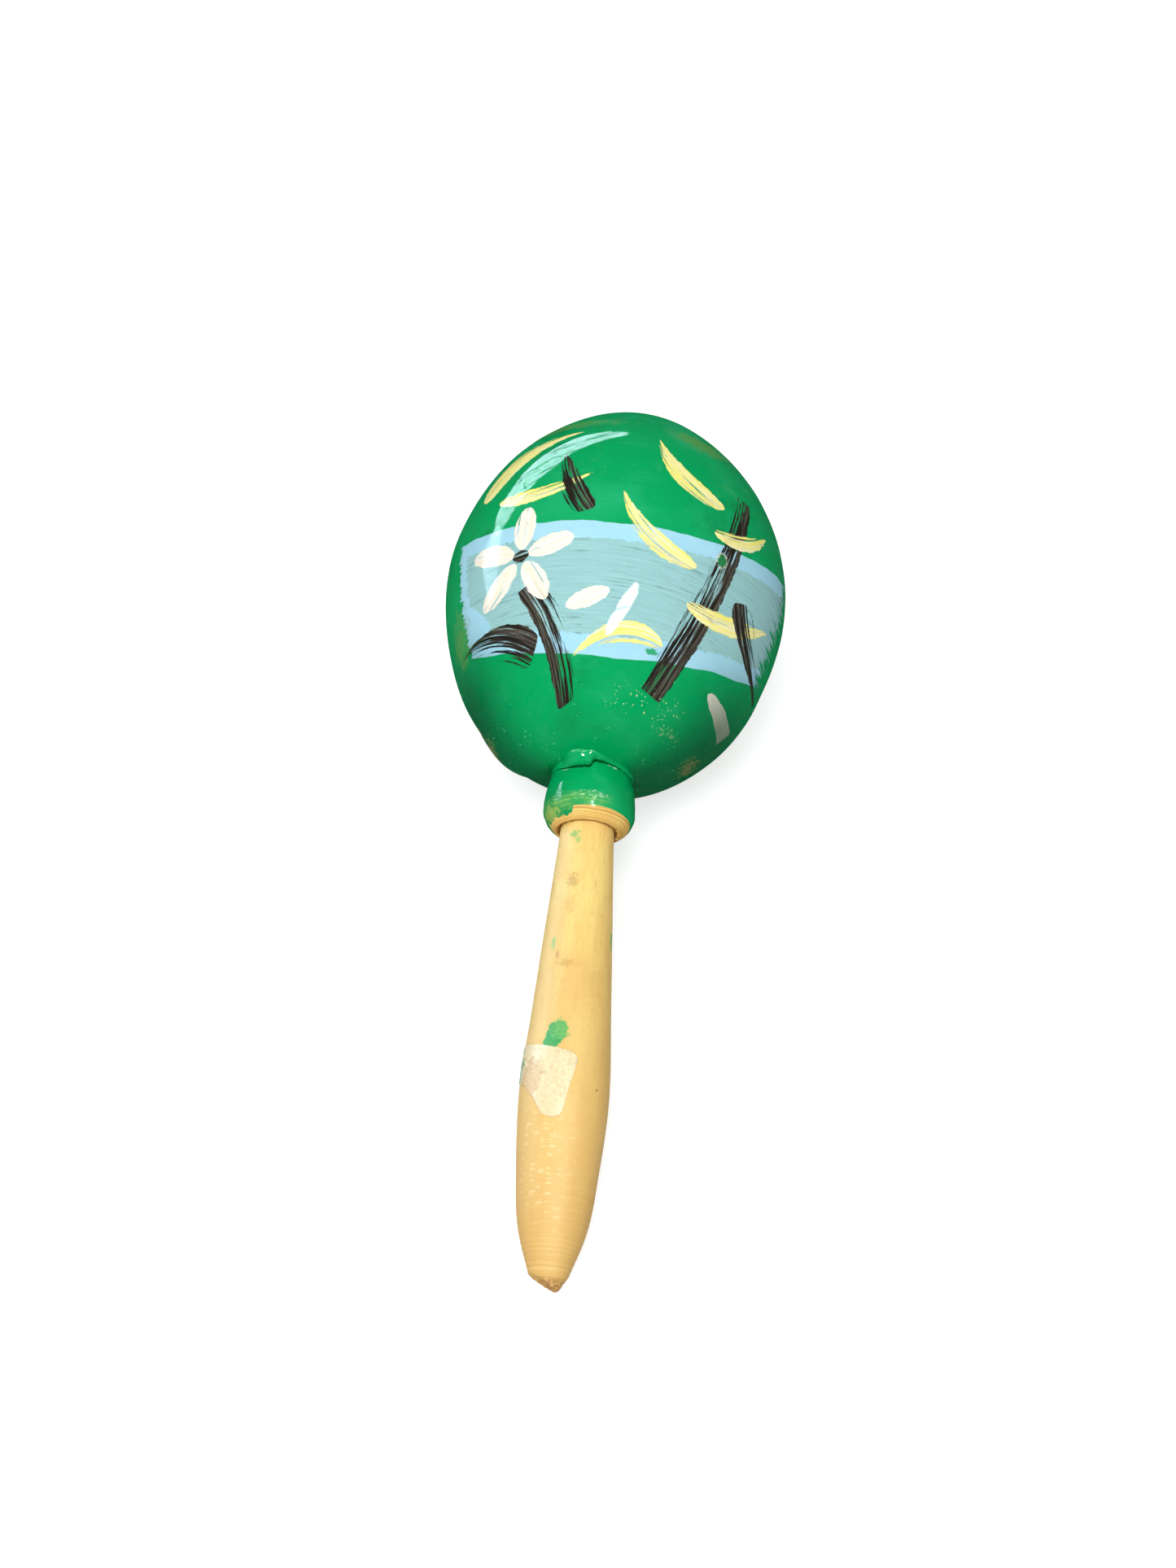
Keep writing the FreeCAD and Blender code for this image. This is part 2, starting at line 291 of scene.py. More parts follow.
# %% [markdown]
# ## The collar
# A ring of wood is glued on where the handle meets the gourd. Its mouth was chipped when the
# handle was driven in, and the paint has torn along its top edge. The line of that tear is
# one function, used twice: the collar ends just below it and the filler starts just above.
# On the left it runs low, then it steps up to where a skin of paint stands free.

# %% Draw the torn line between collar and filler
COLLAR_TOP = 16.6


def tear(turn):
    """Height of the tear: low where putty laps over, high where a skin of paint stands up."""
    step = 1 / (1 + math.exp((2 - turn) / 1.0))
    lap = -1.05 * (1 - step) / (1 + math.exp((-48 - turn) / 4))
    seed_skin_and_glint = 0.70 * step * bell(turn, 4, 34)
    return COLLAR_TOP + 0.25 + lap + seed_skin_and_glint + 0.25 * ragged(turn, 7.0) + 0.20 * ragged(turn, 26.0)


def opening(turn):
    """Half of the tear's width: open on the upper side, shut under the maraca."""
    return 0.05 + 0.23 * bell(turn, 0, 52)


print("the tear runs from", round(min(tear(t) for t in range(-90, 90)), 2),
      "to", round(max(tear(t) for t in range(-90, 90)), 2), "mm")

# %% Turn the collar with its chipped mouth
MOUTH_RADIUS, MOUTH_HEIGHT = 8.5, 2.6   # inside and below these the mouth is chipped
SHOULDER_TOP, TEAR_FOOT = 8.5, 9.0      # rings below the one, the torn edge above the other
shoulder = [(8.0, 1.32), (8.3, COLLAR_LOW)]
shoulder += flowing([(8.65, COLLAR_LOW), (11.1, 3.4), (12.4, 6.2)], steps=14)
band = flowing([(12.4, 6.2), (12.3, 9.5), (11.9, 13.2), (11.0, COLLAR_TOP)], steps=10)
bore = [(STEM_RADIUS, COLLAR_TOP - 0.6), (STEM_RADIUS, 3.2), (7.4, 2.5), (7.75, 1.8)]


def collar_shape(turn, radius, height):
    """Chips round the mouth, rings from the lathe on the shoulder, and the torn top edge."""
    if STEM_RADIUS + 0.1 < radius < MOUTH_RADIUS and height < MOUTH_HEIGHT:
        bite = 1.1 * ragged(turn, 7.0, 2.0) + 0.9 * ragged(turn, 15.0, 8.0)
        return radius + 1.1 * bite, height + 0.5 * abs(bite)
    if radius > MOUTH_RADIUS and height < SHOULDER_TOP:
        radius += 0.55 * bell(turn, 80, 42) * (1 - height / SHOULDER_TOP)
        radius -= 0.055 * (1 + math.sin(height * 6.3 + 0.5 * ragged(turn, 1.5)))
    if height > TEAR_FOOT and radius > STEM_RADIUS + 0.1:
        rise = (height - TEAR_FOOT) / (COLLAR_TOP - TEAR_FOOT)
        height += rise * rise * (tear(turn) - opening(turn) - COLLAR_TOP)
        radius -= 0.10 * rise * (1 + ragged(turn, 5.0, 3.0))
    return radius - 0.04 * (1 + noise.noise(from_upper(turn, radius, height) * 0.4)), height


lip = [(10.4, COLLAR_TOP - 0.15), (9.4, COLLAR_TOP - 0.5)]
collar = turned("collar_ring", bore + shoulder + band[1:] + lip, even_turns(240),
                handle_place, collar_shape, loop=True)
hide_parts("collar")

# %% [markdown]
# ## The filler
# Glue and putty fill the wedge between the collar and the crooked gourd, and a dab of putty
# was thumbed on over the worst gap. It isn't round at all, so its outline is worked out anew
# for every turn, from the tear at the bottom up to the underside of the gourd.


# %% Find the gourd's underside as the handle sees it
def rind_height(turn, radius):
    """Height of the gourd's underside over a point at this turn and radius."""
    x = radius * math.sin(math.radians(turn)) - HEAD_SHIFT
    y = radius * math.cos(math.radians(turn))
    out = math.hypot(x, y)
    height = HEAD_FOOT
    for (r1, z1), (r2, z2) in zip(RIND, RIND[1:]):
        if r1 <= out <= r2:
            height = z1 + (z2 - z1) * (out - r1) / (r2 - r1)
            break
    return height - x * math.sin(math.radians(HEAD_LEAN))


def putty(turn):
    """How much of the lens-shaped putty dab is there at a turn, from 0 to 1."""
    off = (turn + 15) / (-30 if turn < -15 else 50)
    return math.cos(off * math.pi / 2) ** 1.5 if off < 1 else 0.0


# %% Lay the filler in strips from the tear up to the gourd
FILLER_STEPS = 16
FILLER_RADIUS = 11.3


def filler_line(turn):
    dab = putty(turn)
    start = Vector((10.95 + 0.45 * dab, tear(turn) + opening(turn)))
    reach = FILLER_RADIUS + dab * (3.0 + 0.9 * ragged(turn, 4.0, 7.0))
    end = Vector((reach, rind_height(turn, reach) + 0.25))
    way = (end - start).normalized()
    outwards = Vector((way.y, -way.x))
    points = [(9.2, start.y + 0.1), (start.x - 0.5, start.y + 0.15)]
    for i in range(FILLER_STEPS + 1):
        t = i / FILLER_STEPS
        swell = 0.80 * dab * (1 - t ** 5) * min(1.0, 0.35 + 3 * t)
        crumbs = 0.10 * noise.noise(Vector((turn * 0.16, t * 4, 2)))
        points.append(tuple(start.lerp(end, t) + outwards * (swell + crumbs)))
    return points + [(reach - 2, points[-1][1] + 0.6), (9.2, HEAD_FOOT + 1.4)]


filler_mesh = bmesh.new()
lines = [[filler_mesh.verts.new(from_upper(t, r, z)) for r, z in filler_line(t)]
         for t in even_turns(300)]
for left, right in zip(lines, lines[1:] + lines[:1]):
    for i in range(len(left)):
        filler_mesh.faces.new([left[i - 1], right[i - 1], right[i], left[i]])
filler = finished("putty_filler", filler_mesh, handle_place)
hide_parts("neck_filler")

# %% [markdown]
# ## The scrap of tape
# A torn piece of clear tape follows the swell of the grip. Flat, it has a slanted top edge
# and a long tapered end, so it is made in columns between a top line and a bottom line, and
# each point is then wrapped round the grip. A Solidify modifier gives the film its thickness.

# %% Wrap the tape round the grip
TAPE_TOP = -61.0
TAPE_TURN = -42.0
TAPE_THICK = 0.12
TAPE_LEFT, TAPE_RIGHT = -9.3, 9.6
TAPE_COLUMNS, TAPE_ROWS = 72, 40
TOP_EDGE = [(TAPE_LEFT, 0.9), (0.0, -0.8), (6.8, -2.3), (8.4, -2.9), (9.2, -3.7),
            (TAPE_RIGHT, -4.8)]
LOW_EDGE = [(TAPE_LEFT, -8.4), (-2.9, -11.2), (0.9, -15.0), (3.2, -18.8), (4.4, -19.6),
            (6.4, -19.9), (7.4, -19.4), (7.9, -18.4), (8.8, -12.0), (9.4, -7.8),
            (TAPE_RIGHT, -5.2)]


def edge_at(edge, across):
    for (a1, drop1), (a2, drop2) in zip(edge, edge[1:]):
        if across <= a2:
            return drop1 + (drop2 - drop1) * (across - a1) / (a2 - a1)
    return edge[-1][1]


tape_mesh = bmesh.new()
columns = []
for i in range(TAPE_COLUMNS + 1):
    across = TAPE_LEFT + (TAPE_RIGHT - TAPE_LEFT) * i / TAPE_COLUMNS
    top, low = edge_at(TOP_EDGE, across), edge_at(LOW_EDGE, across)
    column = []
    for j in range(TAPE_ROWS + 1):
        height = TAPE_TOP + top + (low - top) * j / TAPE_ROWS
        bare = grip_radius(height)
        lift = 0.06 + 0.05 * noise.noise(Vector((across * 0.5, height * 0.4, 1.0)))
        turn = TAPE_TURN + math.degrees(math.asin(across / bare))
        column.append(tape_mesh.verts.new(from_upper(turn, bare + lift, height)))
    columns.append(column)
for left, right in zip(columns, columns[1:]):
    for j in range(TAPE_ROWS):
        tape_mesh.faces.new([left[j], right[j], right[j + 1], left[j + 1]])
tape = finished("tape_film", tape_mesh, handle_place)
film = tape.modifiers.new("film thickness", "SOLIDIFY")
film.thickness = TAPE_THICK * MM
film.offset = 1.0
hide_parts("tape_scrap")

# %% [markdown]
# ## The seeds
# The seeds are the imported pieces themselves. A Subdivision modifier rounds each faceted egg
# without moving it, so they still sit where the imported model says.

# %% Round the seeds
seeds = [node for name, node in frame["nodes"].items() if name.startswith("seed_")]
for seed in seeds:
    rounding = seed.modifiers.new("rounded", "SUBSURF")
    rounding.levels = 2
    rounding.render_levels = 2
    seed.data.shade_smooth()
print("rounded", len(seeds), "seeds")

# %% [markdown]
# ## Nodes without the mouse
# A material is a sheet of nodes and wires. Written out in full, each node takes four or five
# lines, so a few short helpers make them instead. Each helper adds one node, feeds it numbers
# or wires, and gives back its output, so that nodes can be nested like sums on paper.


# %% Helpers that add one node each
def feed(tree, socket, value):
    """Wire an output into a socket, or write a plain value into it."""
    if isinstance(value, bpy.types.NodeSocket):
        tree.links.new(value, socket)
    else:
        socket.default_value = value


def sums(tree, operation, *values, clamp=False):
    node = tree.nodes.new("ShaderNodeMath")
    node.operation = operation
    node.use_clamp = clamp
    for socket, value in zip(node.inputs, values):
        feed(tree, socket, value)
    return node.outputs[0]


def times(tree, first, *others):
    """All the values multiplied together."""
    for other in others:
        first = sums(tree, "MULTIPLY", first, other)
    return first


def times_plus(tree, value, factor, added):
    return sums(tree, "MULTIPLY_ADD", value, factor, added)


def plus(tree, one, other):
    return sums(tree, "ADD", one, other)


def minus(tree, one, other):
    return sums(tree, "SUBTRACT", one, other)


def vectors(tree, operation, *values):
    node = tree.nodes.new("ShaderNodeVectorMath")
    node.operation = operation
    for socket, value in zip(node.inputs, values):
        feed(tree, socket, value)
    return node.outputs["Value" if operation == "LENGTH" else "Vector"]


def fade(tree, value, low, high, to_low=0.0, to_high=1.0):
    """A smooth step: to_low below low, to_high above high."""
    node = tree.nodes.new("ShaderNodeMapRange")
    node.interpolation_type = "SMOOTHSTEP"
    for title, fed in zip(("Value", "From Min", "From Max", "To Min", "To Max"),
                          (value, low, high, to_low, to_high)):
        feed(tree, node.inputs[title], fed)
    return node.outputs["Result"]


def grain(tree, place, scale, detail, rough=0.5, stretch=(1, 1, 1), warp=0.0):
    """Soft noise from 0 to 1; stretch squeezes the place it reads, to draw the noise out."""
    node = tree.nodes.new("ShaderNodeTexNoise")
    feed(tree, node.inputs["Vector"], vectors(tree, "MULTIPLY", place, stretch))
    for title, fed in (("Scale", scale), ("Detail", detail), ("Roughness", rough),
                       ("Distortion", warp)):
        feed(tree, node.inputs[title], fed)
    return node.outputs["Fac"]


def over(tree, share, under, top):
    """Lay the top colour over the one under it, as thickly as the share says."""
    node = tree.nodes.new("ShaderNodeMix")
    node.data_type = "RGBA"
    feed(tree, node.inputs[0], share)
    feed(tree, node.inputs[6], under)
    feed(tree, node.inputs[7], top)
    return node.outputs[2]


def coat(tree, under, top, *masks):
    """Lay the top colour on only where all the masks say, each from 0 to 1."""
    return over(tree, times(tree, *masks), under, top)


def split(tree, vector):
    node = tree.nodes.new("ShaderNodeSeparateXYZ")
    feed(tree, node.inputs[0], vector)
    return node.outputs


def join(tree, x, y, z=0.0):
    node = tree.nodes.new("ShaderNodeCombineXYZ")
    for socket, value in zip(node.inputs, (x, y, z)):
        feed(tree, socket, value)
    return node.outputs[0]


def paint(red, green, blue):
    """A colour as it looks, from 0 to 255, turned into the linear values that shaders use."""
    def linear(value):
        share = value / 255
        return share / 12.92 if share <= 0.04045 else ((share + 0.055) / 1.055) ** 2.4
    return (linear(red), linear(green), linear(blue), 1.0)


# %% Helpers for node groups
KINDS = {"colour": "NodeSocketColor", "vector": "NodeSocketVector", "number": "NodeSocketFloat"}


def new_group(name, takes, gives):
    """A shader node group with named inputs {title: value} and outputs {title: kind}."""
    group = bpy.data.node_groups.new(name, "ShaderNodeTree")
    for title, value in takes.items():
        kind = KINDS["vector" if isinstance(value, tuple) else "number"]
        socket = group.interface.new_socket(name=title, in_out="INPUT", socket_type=kind)
        socket.default_value = value
    for title, kind in gives.items():
        group.interface.new_socket(name=title, in_out="OUTPUT", socket_type=KINDS[kind])
    entry = group.nodes.new("NodeGroupInput").outputs
    leave = group.nodes.new("NodeGroupOutput").inputs
    print("node group:", name)
    return group, entry, leave


def use(tree, group, **fed):
    """Place a group in a tree, feed its inputs by name and give back its outputs."""
    node = tree.nodes.new("ShaderNodeGroup")
    node.node_tree = group
    for title, value in fed.items():
        feed(tree, node.inputs[title], value)
    return node.outputs


# %% [markdown]
# ## Where on the piece
# Every paint mark is placed by its turn from the upper side and its height. This group reads
# the upright position that the meshes remember, and gives the point, the turn in degrees,
# the height, and a flat map of the upper side for the brush strokes.

# %% Group: place on the piece
PLACE, entry, leave = new_group(
    "place on the piece", {},
    {"Point": "vector", "Turn": "number", "Height": "number", "Flat": "vector", "Upper": "number"},
)
remembered = PLACE.nodes.new("ShaderNodeAttribute")
remembered.attribute_name = "upright"
point = remembered.outputs["Vector"]
x, y, z = split(PLACE, point)
upwards = times(PLACE, y, -1.0)
turn = times(PLACE, sums(PLACE, "ARCTAN2", x, upwards), 180 / math.pi)
feed(PLACE, leave["Point"], point)
feed(PLACE, leave["Turn"], turn)
feed(PLACE, leave["Height"], z)
feed(PLACE, leave["Flat"], join(PLACE, x, z))
feed(PLACE, leave["Upper"], fade(PLACE, upwards, 0.0, 2.0))

# %% [markdown]
# ## Patches, flecks and bristle lines
# Three kinds of mark turn up on nearly every piece. A ragged patch is a blob with a ragged
# edge round a point; it serves for wear, stains and painted highlights. Flecks are tiny specks:
# missing paint, grit, pores and the sparkle of a painted glint. Bristle lines are what a
# stiff brush leaves: long thin ridges along its way. Each is a group, fed anew every time.

# %% Group: ragged patch
PATCH, entry, leave = new_group(
    "ragged patch",
    {"Point": (0, 0, 0), "Centre": (0, 0, 0), "Size": (5, 5, 5), "Ragged": 0.5, "Grain": 0.8,
     "Soft": 0.15},
    {"Mask": "number"},
)
apart = vectors(PATCH, "SUBTRACT", entry["Point"], entry["Centre"])
apart = vectors(PATCH, "DIVIDE", apart, entry["Size"])
rough_edge = minus(PATCH, grain(PATCH, entry["Point"], entry["Grain"], 4.0, 0.65), 0.5)
distance = times_plus(PATCH, rough_edge, times(PATCH, entry["Ragged"], 4.0),
                      vectors(PATCH, "LENGTH", apart))
inner_edge = minus(PATCH, 1.0, entry["Soft"])
outer_edge = plus(PATCH, 1.0, entry["Soft"])
feed(PATCH, leave["Mask"], fade(PATCH, distance, inner_edge, outer_edge, 1.0, 0.0))

# %% Group: flecks
FLECKS, entry, leave = new_group(
    "flecks", {"Point": (0, 0, 0), "Scale": 1.0, "Size": 0.25, "Share": 0.3}, {"Mask": "number"},
)
cells = FLECKS.nodes.new("ShaderNodeTexVoronoi")
feed(FLECKS, cells.inputs["Vector"], entry["Point"])
feed(FLECKS, cells.inputs["Scale"], entry["Scale"])
luck = split(FLECKS, cells.outputs["Color"])[0]
chosen = sums(FLECKS, "LESS_THAN", luck, entry["Share"])
reach = times(FLECKS, entry["Size"], plus(FLECKS, 0.4, luck))
dot = fade(FLECKS, cells.outputs["Distance"], times(FLECKS, reach, 0.7), reach, 1.0, 0.0)
feed(FLECKS, leave["Mask"], times(FLECKS, dot, chosen))


def flecks(tree, point, scale, size, share):
    """Specks: scale to the mm, of a size in cells, in a share of all cells."""
    return use(tree, FLECKS, Point=point, Scale=scale, Size=size, Share=share)["Mask"]


# %% Group: bristle lines
BRISTLES, entry, leave = new_group(
    "bristle lines", {"Along": 0.0, "Across": 0.0, "Spacing": 0.5, "Seed": 0.0},
    {"Lines": "number"},
)
drawn = join(BRISTLES, times(BRISTLES, entry["Along"], 0.05),
             sums(BRISTLES, "DIVIDE", entry["Across"], entry["Spacing"]), entry["Seed"])
feed(BRISTLES, leave["Lines"], fade(BRISTLES, grain(BRISTLES, drawn, 1.0, 4.0, 0.7), 0.3, 0.7))


def bristles(tree, along, across, spacing, seed):
    """Bristle lines, spacing apart across the way of the brush."""
    return use(tree, BRISTLES, Along=along, Across=across, Spacing=spacing, Seed=seed)["Lines"]


# %% [markdown]
# ## One brush stroke
# The decoration is a handful of single strokes, each pressed down, drawn along and lifted.
# A mask made from a picture would fix them for ever. As a group, a stroke is a few numbers:
# where it starts, which way it turns, how long, how wide and how bowed it is, how blunt each
# end is, and how dry the brush was. The dry side breaks up into bristle lines.

# %% Group: brush stroke
STROKE, entry, leave = new_group(
    "brush stroke",
    {"Place": (0, 0, 0), "Start": (0, 0, 0), "Turn": 0.0, "Length": 20.0, "Width": 4.0,
     "Bow": 0.0, "Lift": 0.2, "Finish": 0.8, "Dry": 0.3, "Side": 0.3},
    {"Mask": "number", "Streaks": "number"},
)
swung = STROKE.nodes.new("ShaderNodeVectorRotate")
swung.rotation_type = "Z_AXIS"
feed(STROKE, swung.inputs["Vector"], vectors(STROKE, "SUBTRACT", entry["Place"], entry["Start"]))
feed(STROKE, swung.inputs["Angle"], times(STROKE, entry["Turn"], -1.0))
far, across = split(STROKE, swung.outputs[0])[:2]
share = sums(STROKE, "DIVIDE", far, entry["Length"], clamp=True)
left_over = minus(STROKE, 1.0, share)
hump = times(STROKE, share, left_over, 4.0)
across = minus(STROKE, across, times(STROKE, hump, entry["Bow"]))
rising = sums(STROKE, "POWER", share, entry["Lift"])
falling = sums(STROKE, "POWER", left_over, entry["Finish"])
half = times(STROKE, rising, falling, entry["Width"], 0.5)
wander = minus(STROKE, grain(STROKE, entry["Place"], 0.55, 3.0, 0.6), 0.5)
off_line = times_plus(STROKE, wander, 1.3, sums(STROKE, "ABSOLUTE", across))
body = times(STROKE, fade(STROKE, minus(STROKE, half, off_line), -0.05, 0.15),
             fade(STROKE, half, 0.0, 0.2))
lines = bristles(STROKE, far, across, 0.75, split(STROKE, entry["Start"])[0])
lean = sums(STROKE, "DIVIDE", across, sums(STROKE, "MAXIMUM", half, 0.3))
thin = times(STROKE, entry["Dry"], times_plus(STROKE, share, 0.7, 0.5))
thin = times_plus(STROKE, lean, entry["Side"], thin)
covered = fade(STROKE, minus(STROKE, lines, thin), -0.06, 0.10)
feed(STROKE, leave["Mask"], times(STROKE, body, covered))
feed(STROKE, leave["Streaks"], fade(STROKE, lines, 0.75, 0.15))

# %% [markdown]
# ## Enamel
# The same pot of green was used for the gourd, the collar and the putty between them. It is
# a little blotchy, because it was brushed on by hand and dried unevenly, and it took up dust.

# %% Group: green enamel
GREEN = paint(0, 164, 92)
GREEN_LIGHT = paint(44, 184, 124)
GREEN_YELLOW = paint(62, 176, 104)
GREEN_DEEP = paint(0, 128, 68)
ENAMEL, entry, leave = new_group(
    "green enamel", {"Point": (0, 0, 0), "Turn": 0.0, "Height": 0.0},
    {"Colour": "colour", "Rough": "number", "Lift": "number"},
)
slow = grain(ENAMEL, entry["Point"], 0.028, 3.0, 0.55)
cloud = grain(ENAMEL, entry["Point"], 0.075, 4.0, 0.6, warp=0.6)
deep = grain(ENAMEL, vectors(ENAMEL, "ADD", entry["Point"], (40, 7, 0)), 0.05, 4.0, 0.6)
brushed = bristles(ENAMEL, entry["Turn"], entry["Height"], 1.3, 2.0)
high_up = fade(ENAMEL, entry["Height"], 62.0, 80.0, 0.12, 1.0)
pale = times(ENAMEL, fade(ENAMEL, slow, 0.50, 0.66, 0.0, 0.5), high_up)
olive = times(ENAMEL, fade(ENAMEL, cloud, 0.56, 0.72, 0.0, 0.45), high_up)
colour = over(ENAMEL, pale, GREEN, GREEN_LIGHT)
colour = over(ENAMEL, olive, colour, GREEN_YELLOW)
colour = over(ENAMEL, fade(ENAMEL, deep, 0.52, 0.72, 0.0, 0.6), colour, GREEN_DEEP)
streaky = fade(ENAMEL, grain(ENAMEL, entry["Point"], 0.11, 3.0, 0.6), 0.50, 0.66, 0.05, 0.40)
colour = coat(ENAMEL, colour, GREEN_LIGHT, brushed, streaky)
dust = flecks(ENAMEL, entry["Point"], 0.42, 0.16, 0.22)
colour = coat(ENAMEL, colour, paint(120, 205, 150), dust, 0.55)
feed(ENAMEL, leave["Colour"], colour)
feed(ENAMEL, leave["Rough"], fade(ENAMEL, cloud, 0.35, 0.7, 0.20, 0.30))
ridges = times(ENAMEL, brushed, 0.25)
peel = times_plus(ENAMEL, grain(ENAMEL, entry["Point"], 0.55, 3.0), 0.5, ridges)
feed(ENAMEL, leave["Lift"], times_plus(ENAMEL, dust, 0.5, peel))


# %% [markdown]
# ## A shader with relief and a shine
# Enamel shines like glass when it is seen square on, but a plain shiny surface would also
# turn pale all along its rim, and the green has to stay deep there. So the shader's own
# shine is switched off and only a clear coat over it shines, less and less towards the rim.

# %% Start a material, raise it, gloss it, put it on
def new_material(name):
    """A material with an empty Principled BSDF, its tree and its shader."""
    material = bpy.data.materials.new(name)
    material.use_nodes = True
    return material, material.node_tree, material.node_tree.nodes["Principled BSDF"]


def raised(tree, shader, height, depth):
    """Feed a height in node units to the shader's normal, as deep as depth says in mm."""
    bump = tree.nodes.new("ShaderNodeBump")
    bump.inputs["Strength"].default_value = 1.0
    bump.inputs["Distance"].default_value = depth * MM
    feed(tree, bump.inputs["Height"], height)
    feed(tree, shader.inputs["Normal"], bump.outputs["Normal"])


def gloss(tree, shader, amount):
    """Only a clear coat shines: full where it is seen square on, none along the rim."""
    facing = tree.nodes.new("ShaderNodeLayerWeight")
    facing.inputs["Blend"].default_value = 0.5
    kept = sums(tree, "SUBTRACT", 1.0, facing.outputs["Facing"], clamp=True)
    feed(tree, shader.inputs["Coat Weight"], times(tree, kept, amount))
    shader.inputs["Coat Roughness"].default_value = 0.04
    shader.inputs["Specular IOR Level"].default_value = 0.0


def surface(tree, shader, colour, rough):
    feed(tree, shader.inputs["Base Color"], colour)
    feed(tree, shader.inputs["Roughness"], rough)


def dress(material, *pieces):
    for piece in pieces:
        piece.data.materials.clear()
        piece.data.materials.append(material)
    print(material.name, "on", len(pieces), "piece(s),", len(material.node_tree.nodes), "nodes")


def mark(tree, point, spot, size, ragged, fineness, softness=0.15):
    """A ragged patch round a (turn, radius, height) spot, for wear, stains and painted highlights;
    the last three describe its edge.
    """
    patch = use(tree, PATCH, Point=point, Centre=tuple(from_upper(*spot)), Size=size,
                Ragged=ragged, Grain=fineness, Soft=softness)
    return patch["Mask"]


# %% [markdown]
# ## The painted band
# A light blue band runs over the upper half. Its edges were cut in with a loaded brush, so
# they are crisp and thick, while the middle is a dry streaky grey-blue. The brush was set
# down in a saw-toothed line at one end, and ran out in bristles at the other.

# %% Group: painted band
TOP_BOW = (68.9, 0.028, 0.00134)        # height on the upper side, tilt and sag of its edges
FOOT_BOW = (35.2, 0.020, 0.00160)
BAND_START, BAND_END = -66.5, 68.0      # turns where it starts and runs out, before the rags
BAND, entry, leave = new_group(
    "painted band", {"Point": (0, 0, 0), "Turn": 0.0, "Height": 0.0},
    {"Mask": "number", "Colour": "colour", "Lift": "number"},
)


def bow_line(tree, turn, at_top, tilt, sag):
    """A height that bends along the band: at_top + tilt * turn + sag * turn squared."""
    bent = times_plus(tree, turn, sag, tilt)
    return times_plus(tree, bent, turn, at_top)


turn, height, point = entry["Turn"], entry["Height"], entry["Point"]
uneven = minus(BAND, grain(BAND, point, 0.09, 2.0), 0.5)
below_top = minus(BAND, bow_line(BAND, turn, *TOP_BOW), height)
below_top = times_plus(BAND, uneven, 2.0, below_top)
above_foot = minus(BAND, height, bow_line(BAND, turn, *FOOT_BOW))
above_foot = times_plus(BAND, uneven, 1.6, above_foot)
from_edge = sums(BAND, "MINIMUM", below_top, above_foot)
bristly = bristles(BAND, turn, height, 0.8, 5.0)
coarse = grain(BAND, join(BAND, 0.0, height), 0.45, 4.0, 0.7)
start_line = times_plus(BAND, coarse, 9.0, BAND_START)
start_line = times_plus(BAND, bristly, 2.0, start_line)
end_line = times_plus(BAND, coarse, 6.0, BAND_END)
end_line = times_plus(BAND, bristly, 13.0, end_line)
after_start = fade(BAND, minus(BAND, turn, start_line), 0.0, 0.5)
before_end = fade(BAND, minus(BAND, end_line, turn), 0.0, 1.0)
run = times(BAND, after_start, before_end)
mask = times(BAND, run, fade(BAND, from_edge, -0.1, 0.15))
feed(BAND, leave["Mask"], mask)

# %% Colour the band: thick edges, dry middle
STRIP_BLUE = paint(160, 216, 238)
STRIP_PALE = paint(178, 228, 242)
DRY_BLUE = paint(148, 198, 198)
DRY_PALE = paint(172, 218, 220)
DRY_DARK = paint(112, 150, 150)
frayed = minus(BAND, grain(BAND, point, 0.7, 3.0, 0.7), 0.5)
torn_edge = times_plus(BAND, frayed, 2.6, from_edge)
low_start = fade(BAND, above_foot, 6.0, 16.0, 11.0, 0.0)
in_run = minus(BAND, turn, plus(BAND, start_line, low_start))
middle = times(BAND, fade(BAND, torn_edge, 4.6, 5.0), fade(BAND, in_run, 4.0, 5.5))
streaks = bristles(BAND, turn, height, 0.45, 9.0)
long_lines = grain(BAND, join(BAND, times(BAND, turn, 0.035), height), 1.25, 5.0, 0.75)
dry = coat(BAND, DRY_BLUE, DRY_PALE, streaks, 0.6)
patches = fade(BAND, grain(BAND, point, 0.10, 3.0), 0.40, 0.60, 0.25, 1.0)
thin_lines = times(BAND, fade(BAND, long_lines, 0.53, 0.66), patches, 0.85)
dry = over(BAND, thin_lines, dry, DRY_DARK)
grit = flecks(BAND, point, 1.1, 0.30, 0.35)
dry = coat(BAND, dry, DRY_DARK, grit, patches, 0.5)
strip = over(BAND, grain(BAND, point, 0.15, 3.0), STRIP_BLUE, STRIP_PALE)
feed(BAND, leave["Colour"], over(BAND, middle, strip, dry))
ridged = times_plus(BAND, streaks, 0.30, times(BAND, middle, -0.25))
feed(BAND, leave["Lift"], times(BAND, mask, plus(BAND, ridged, 0.8)))

# %% [markdown]
# ## The brushed flowers
# The decoration is the commonest kind of folk painting: flowers and leaf sprays, each made
# of single strokes. A petal is an almond, a leaf is a crescent drawn out to a point, a stem
# is a blunt dry stroke. The list says how each stroke was made, in the order of painting.

# %% List the strokes
INK = (paint(36, 31, 27), paint(92, 88, 78))
YELLOW = (paint(255, 246, 128), paint(255, 250, 208))
CREAM = (paint(252, 244, 222), paint(255, 252, 244))
STEM = dict(Lift=0.06, Finish=0.10, Dry=0.42, Side=0.38)
LEAF = dict(Lift=0.40, Finish=0.95, Dry=0.22, Side=0.25)
PETAL = dict(Lift=0.50, Finish=0.50, Dry=0.10, Side=0.05)
COMMA = dict(Lift=0.18, Finish=0.75, Dry=0.45, Side=0.40)


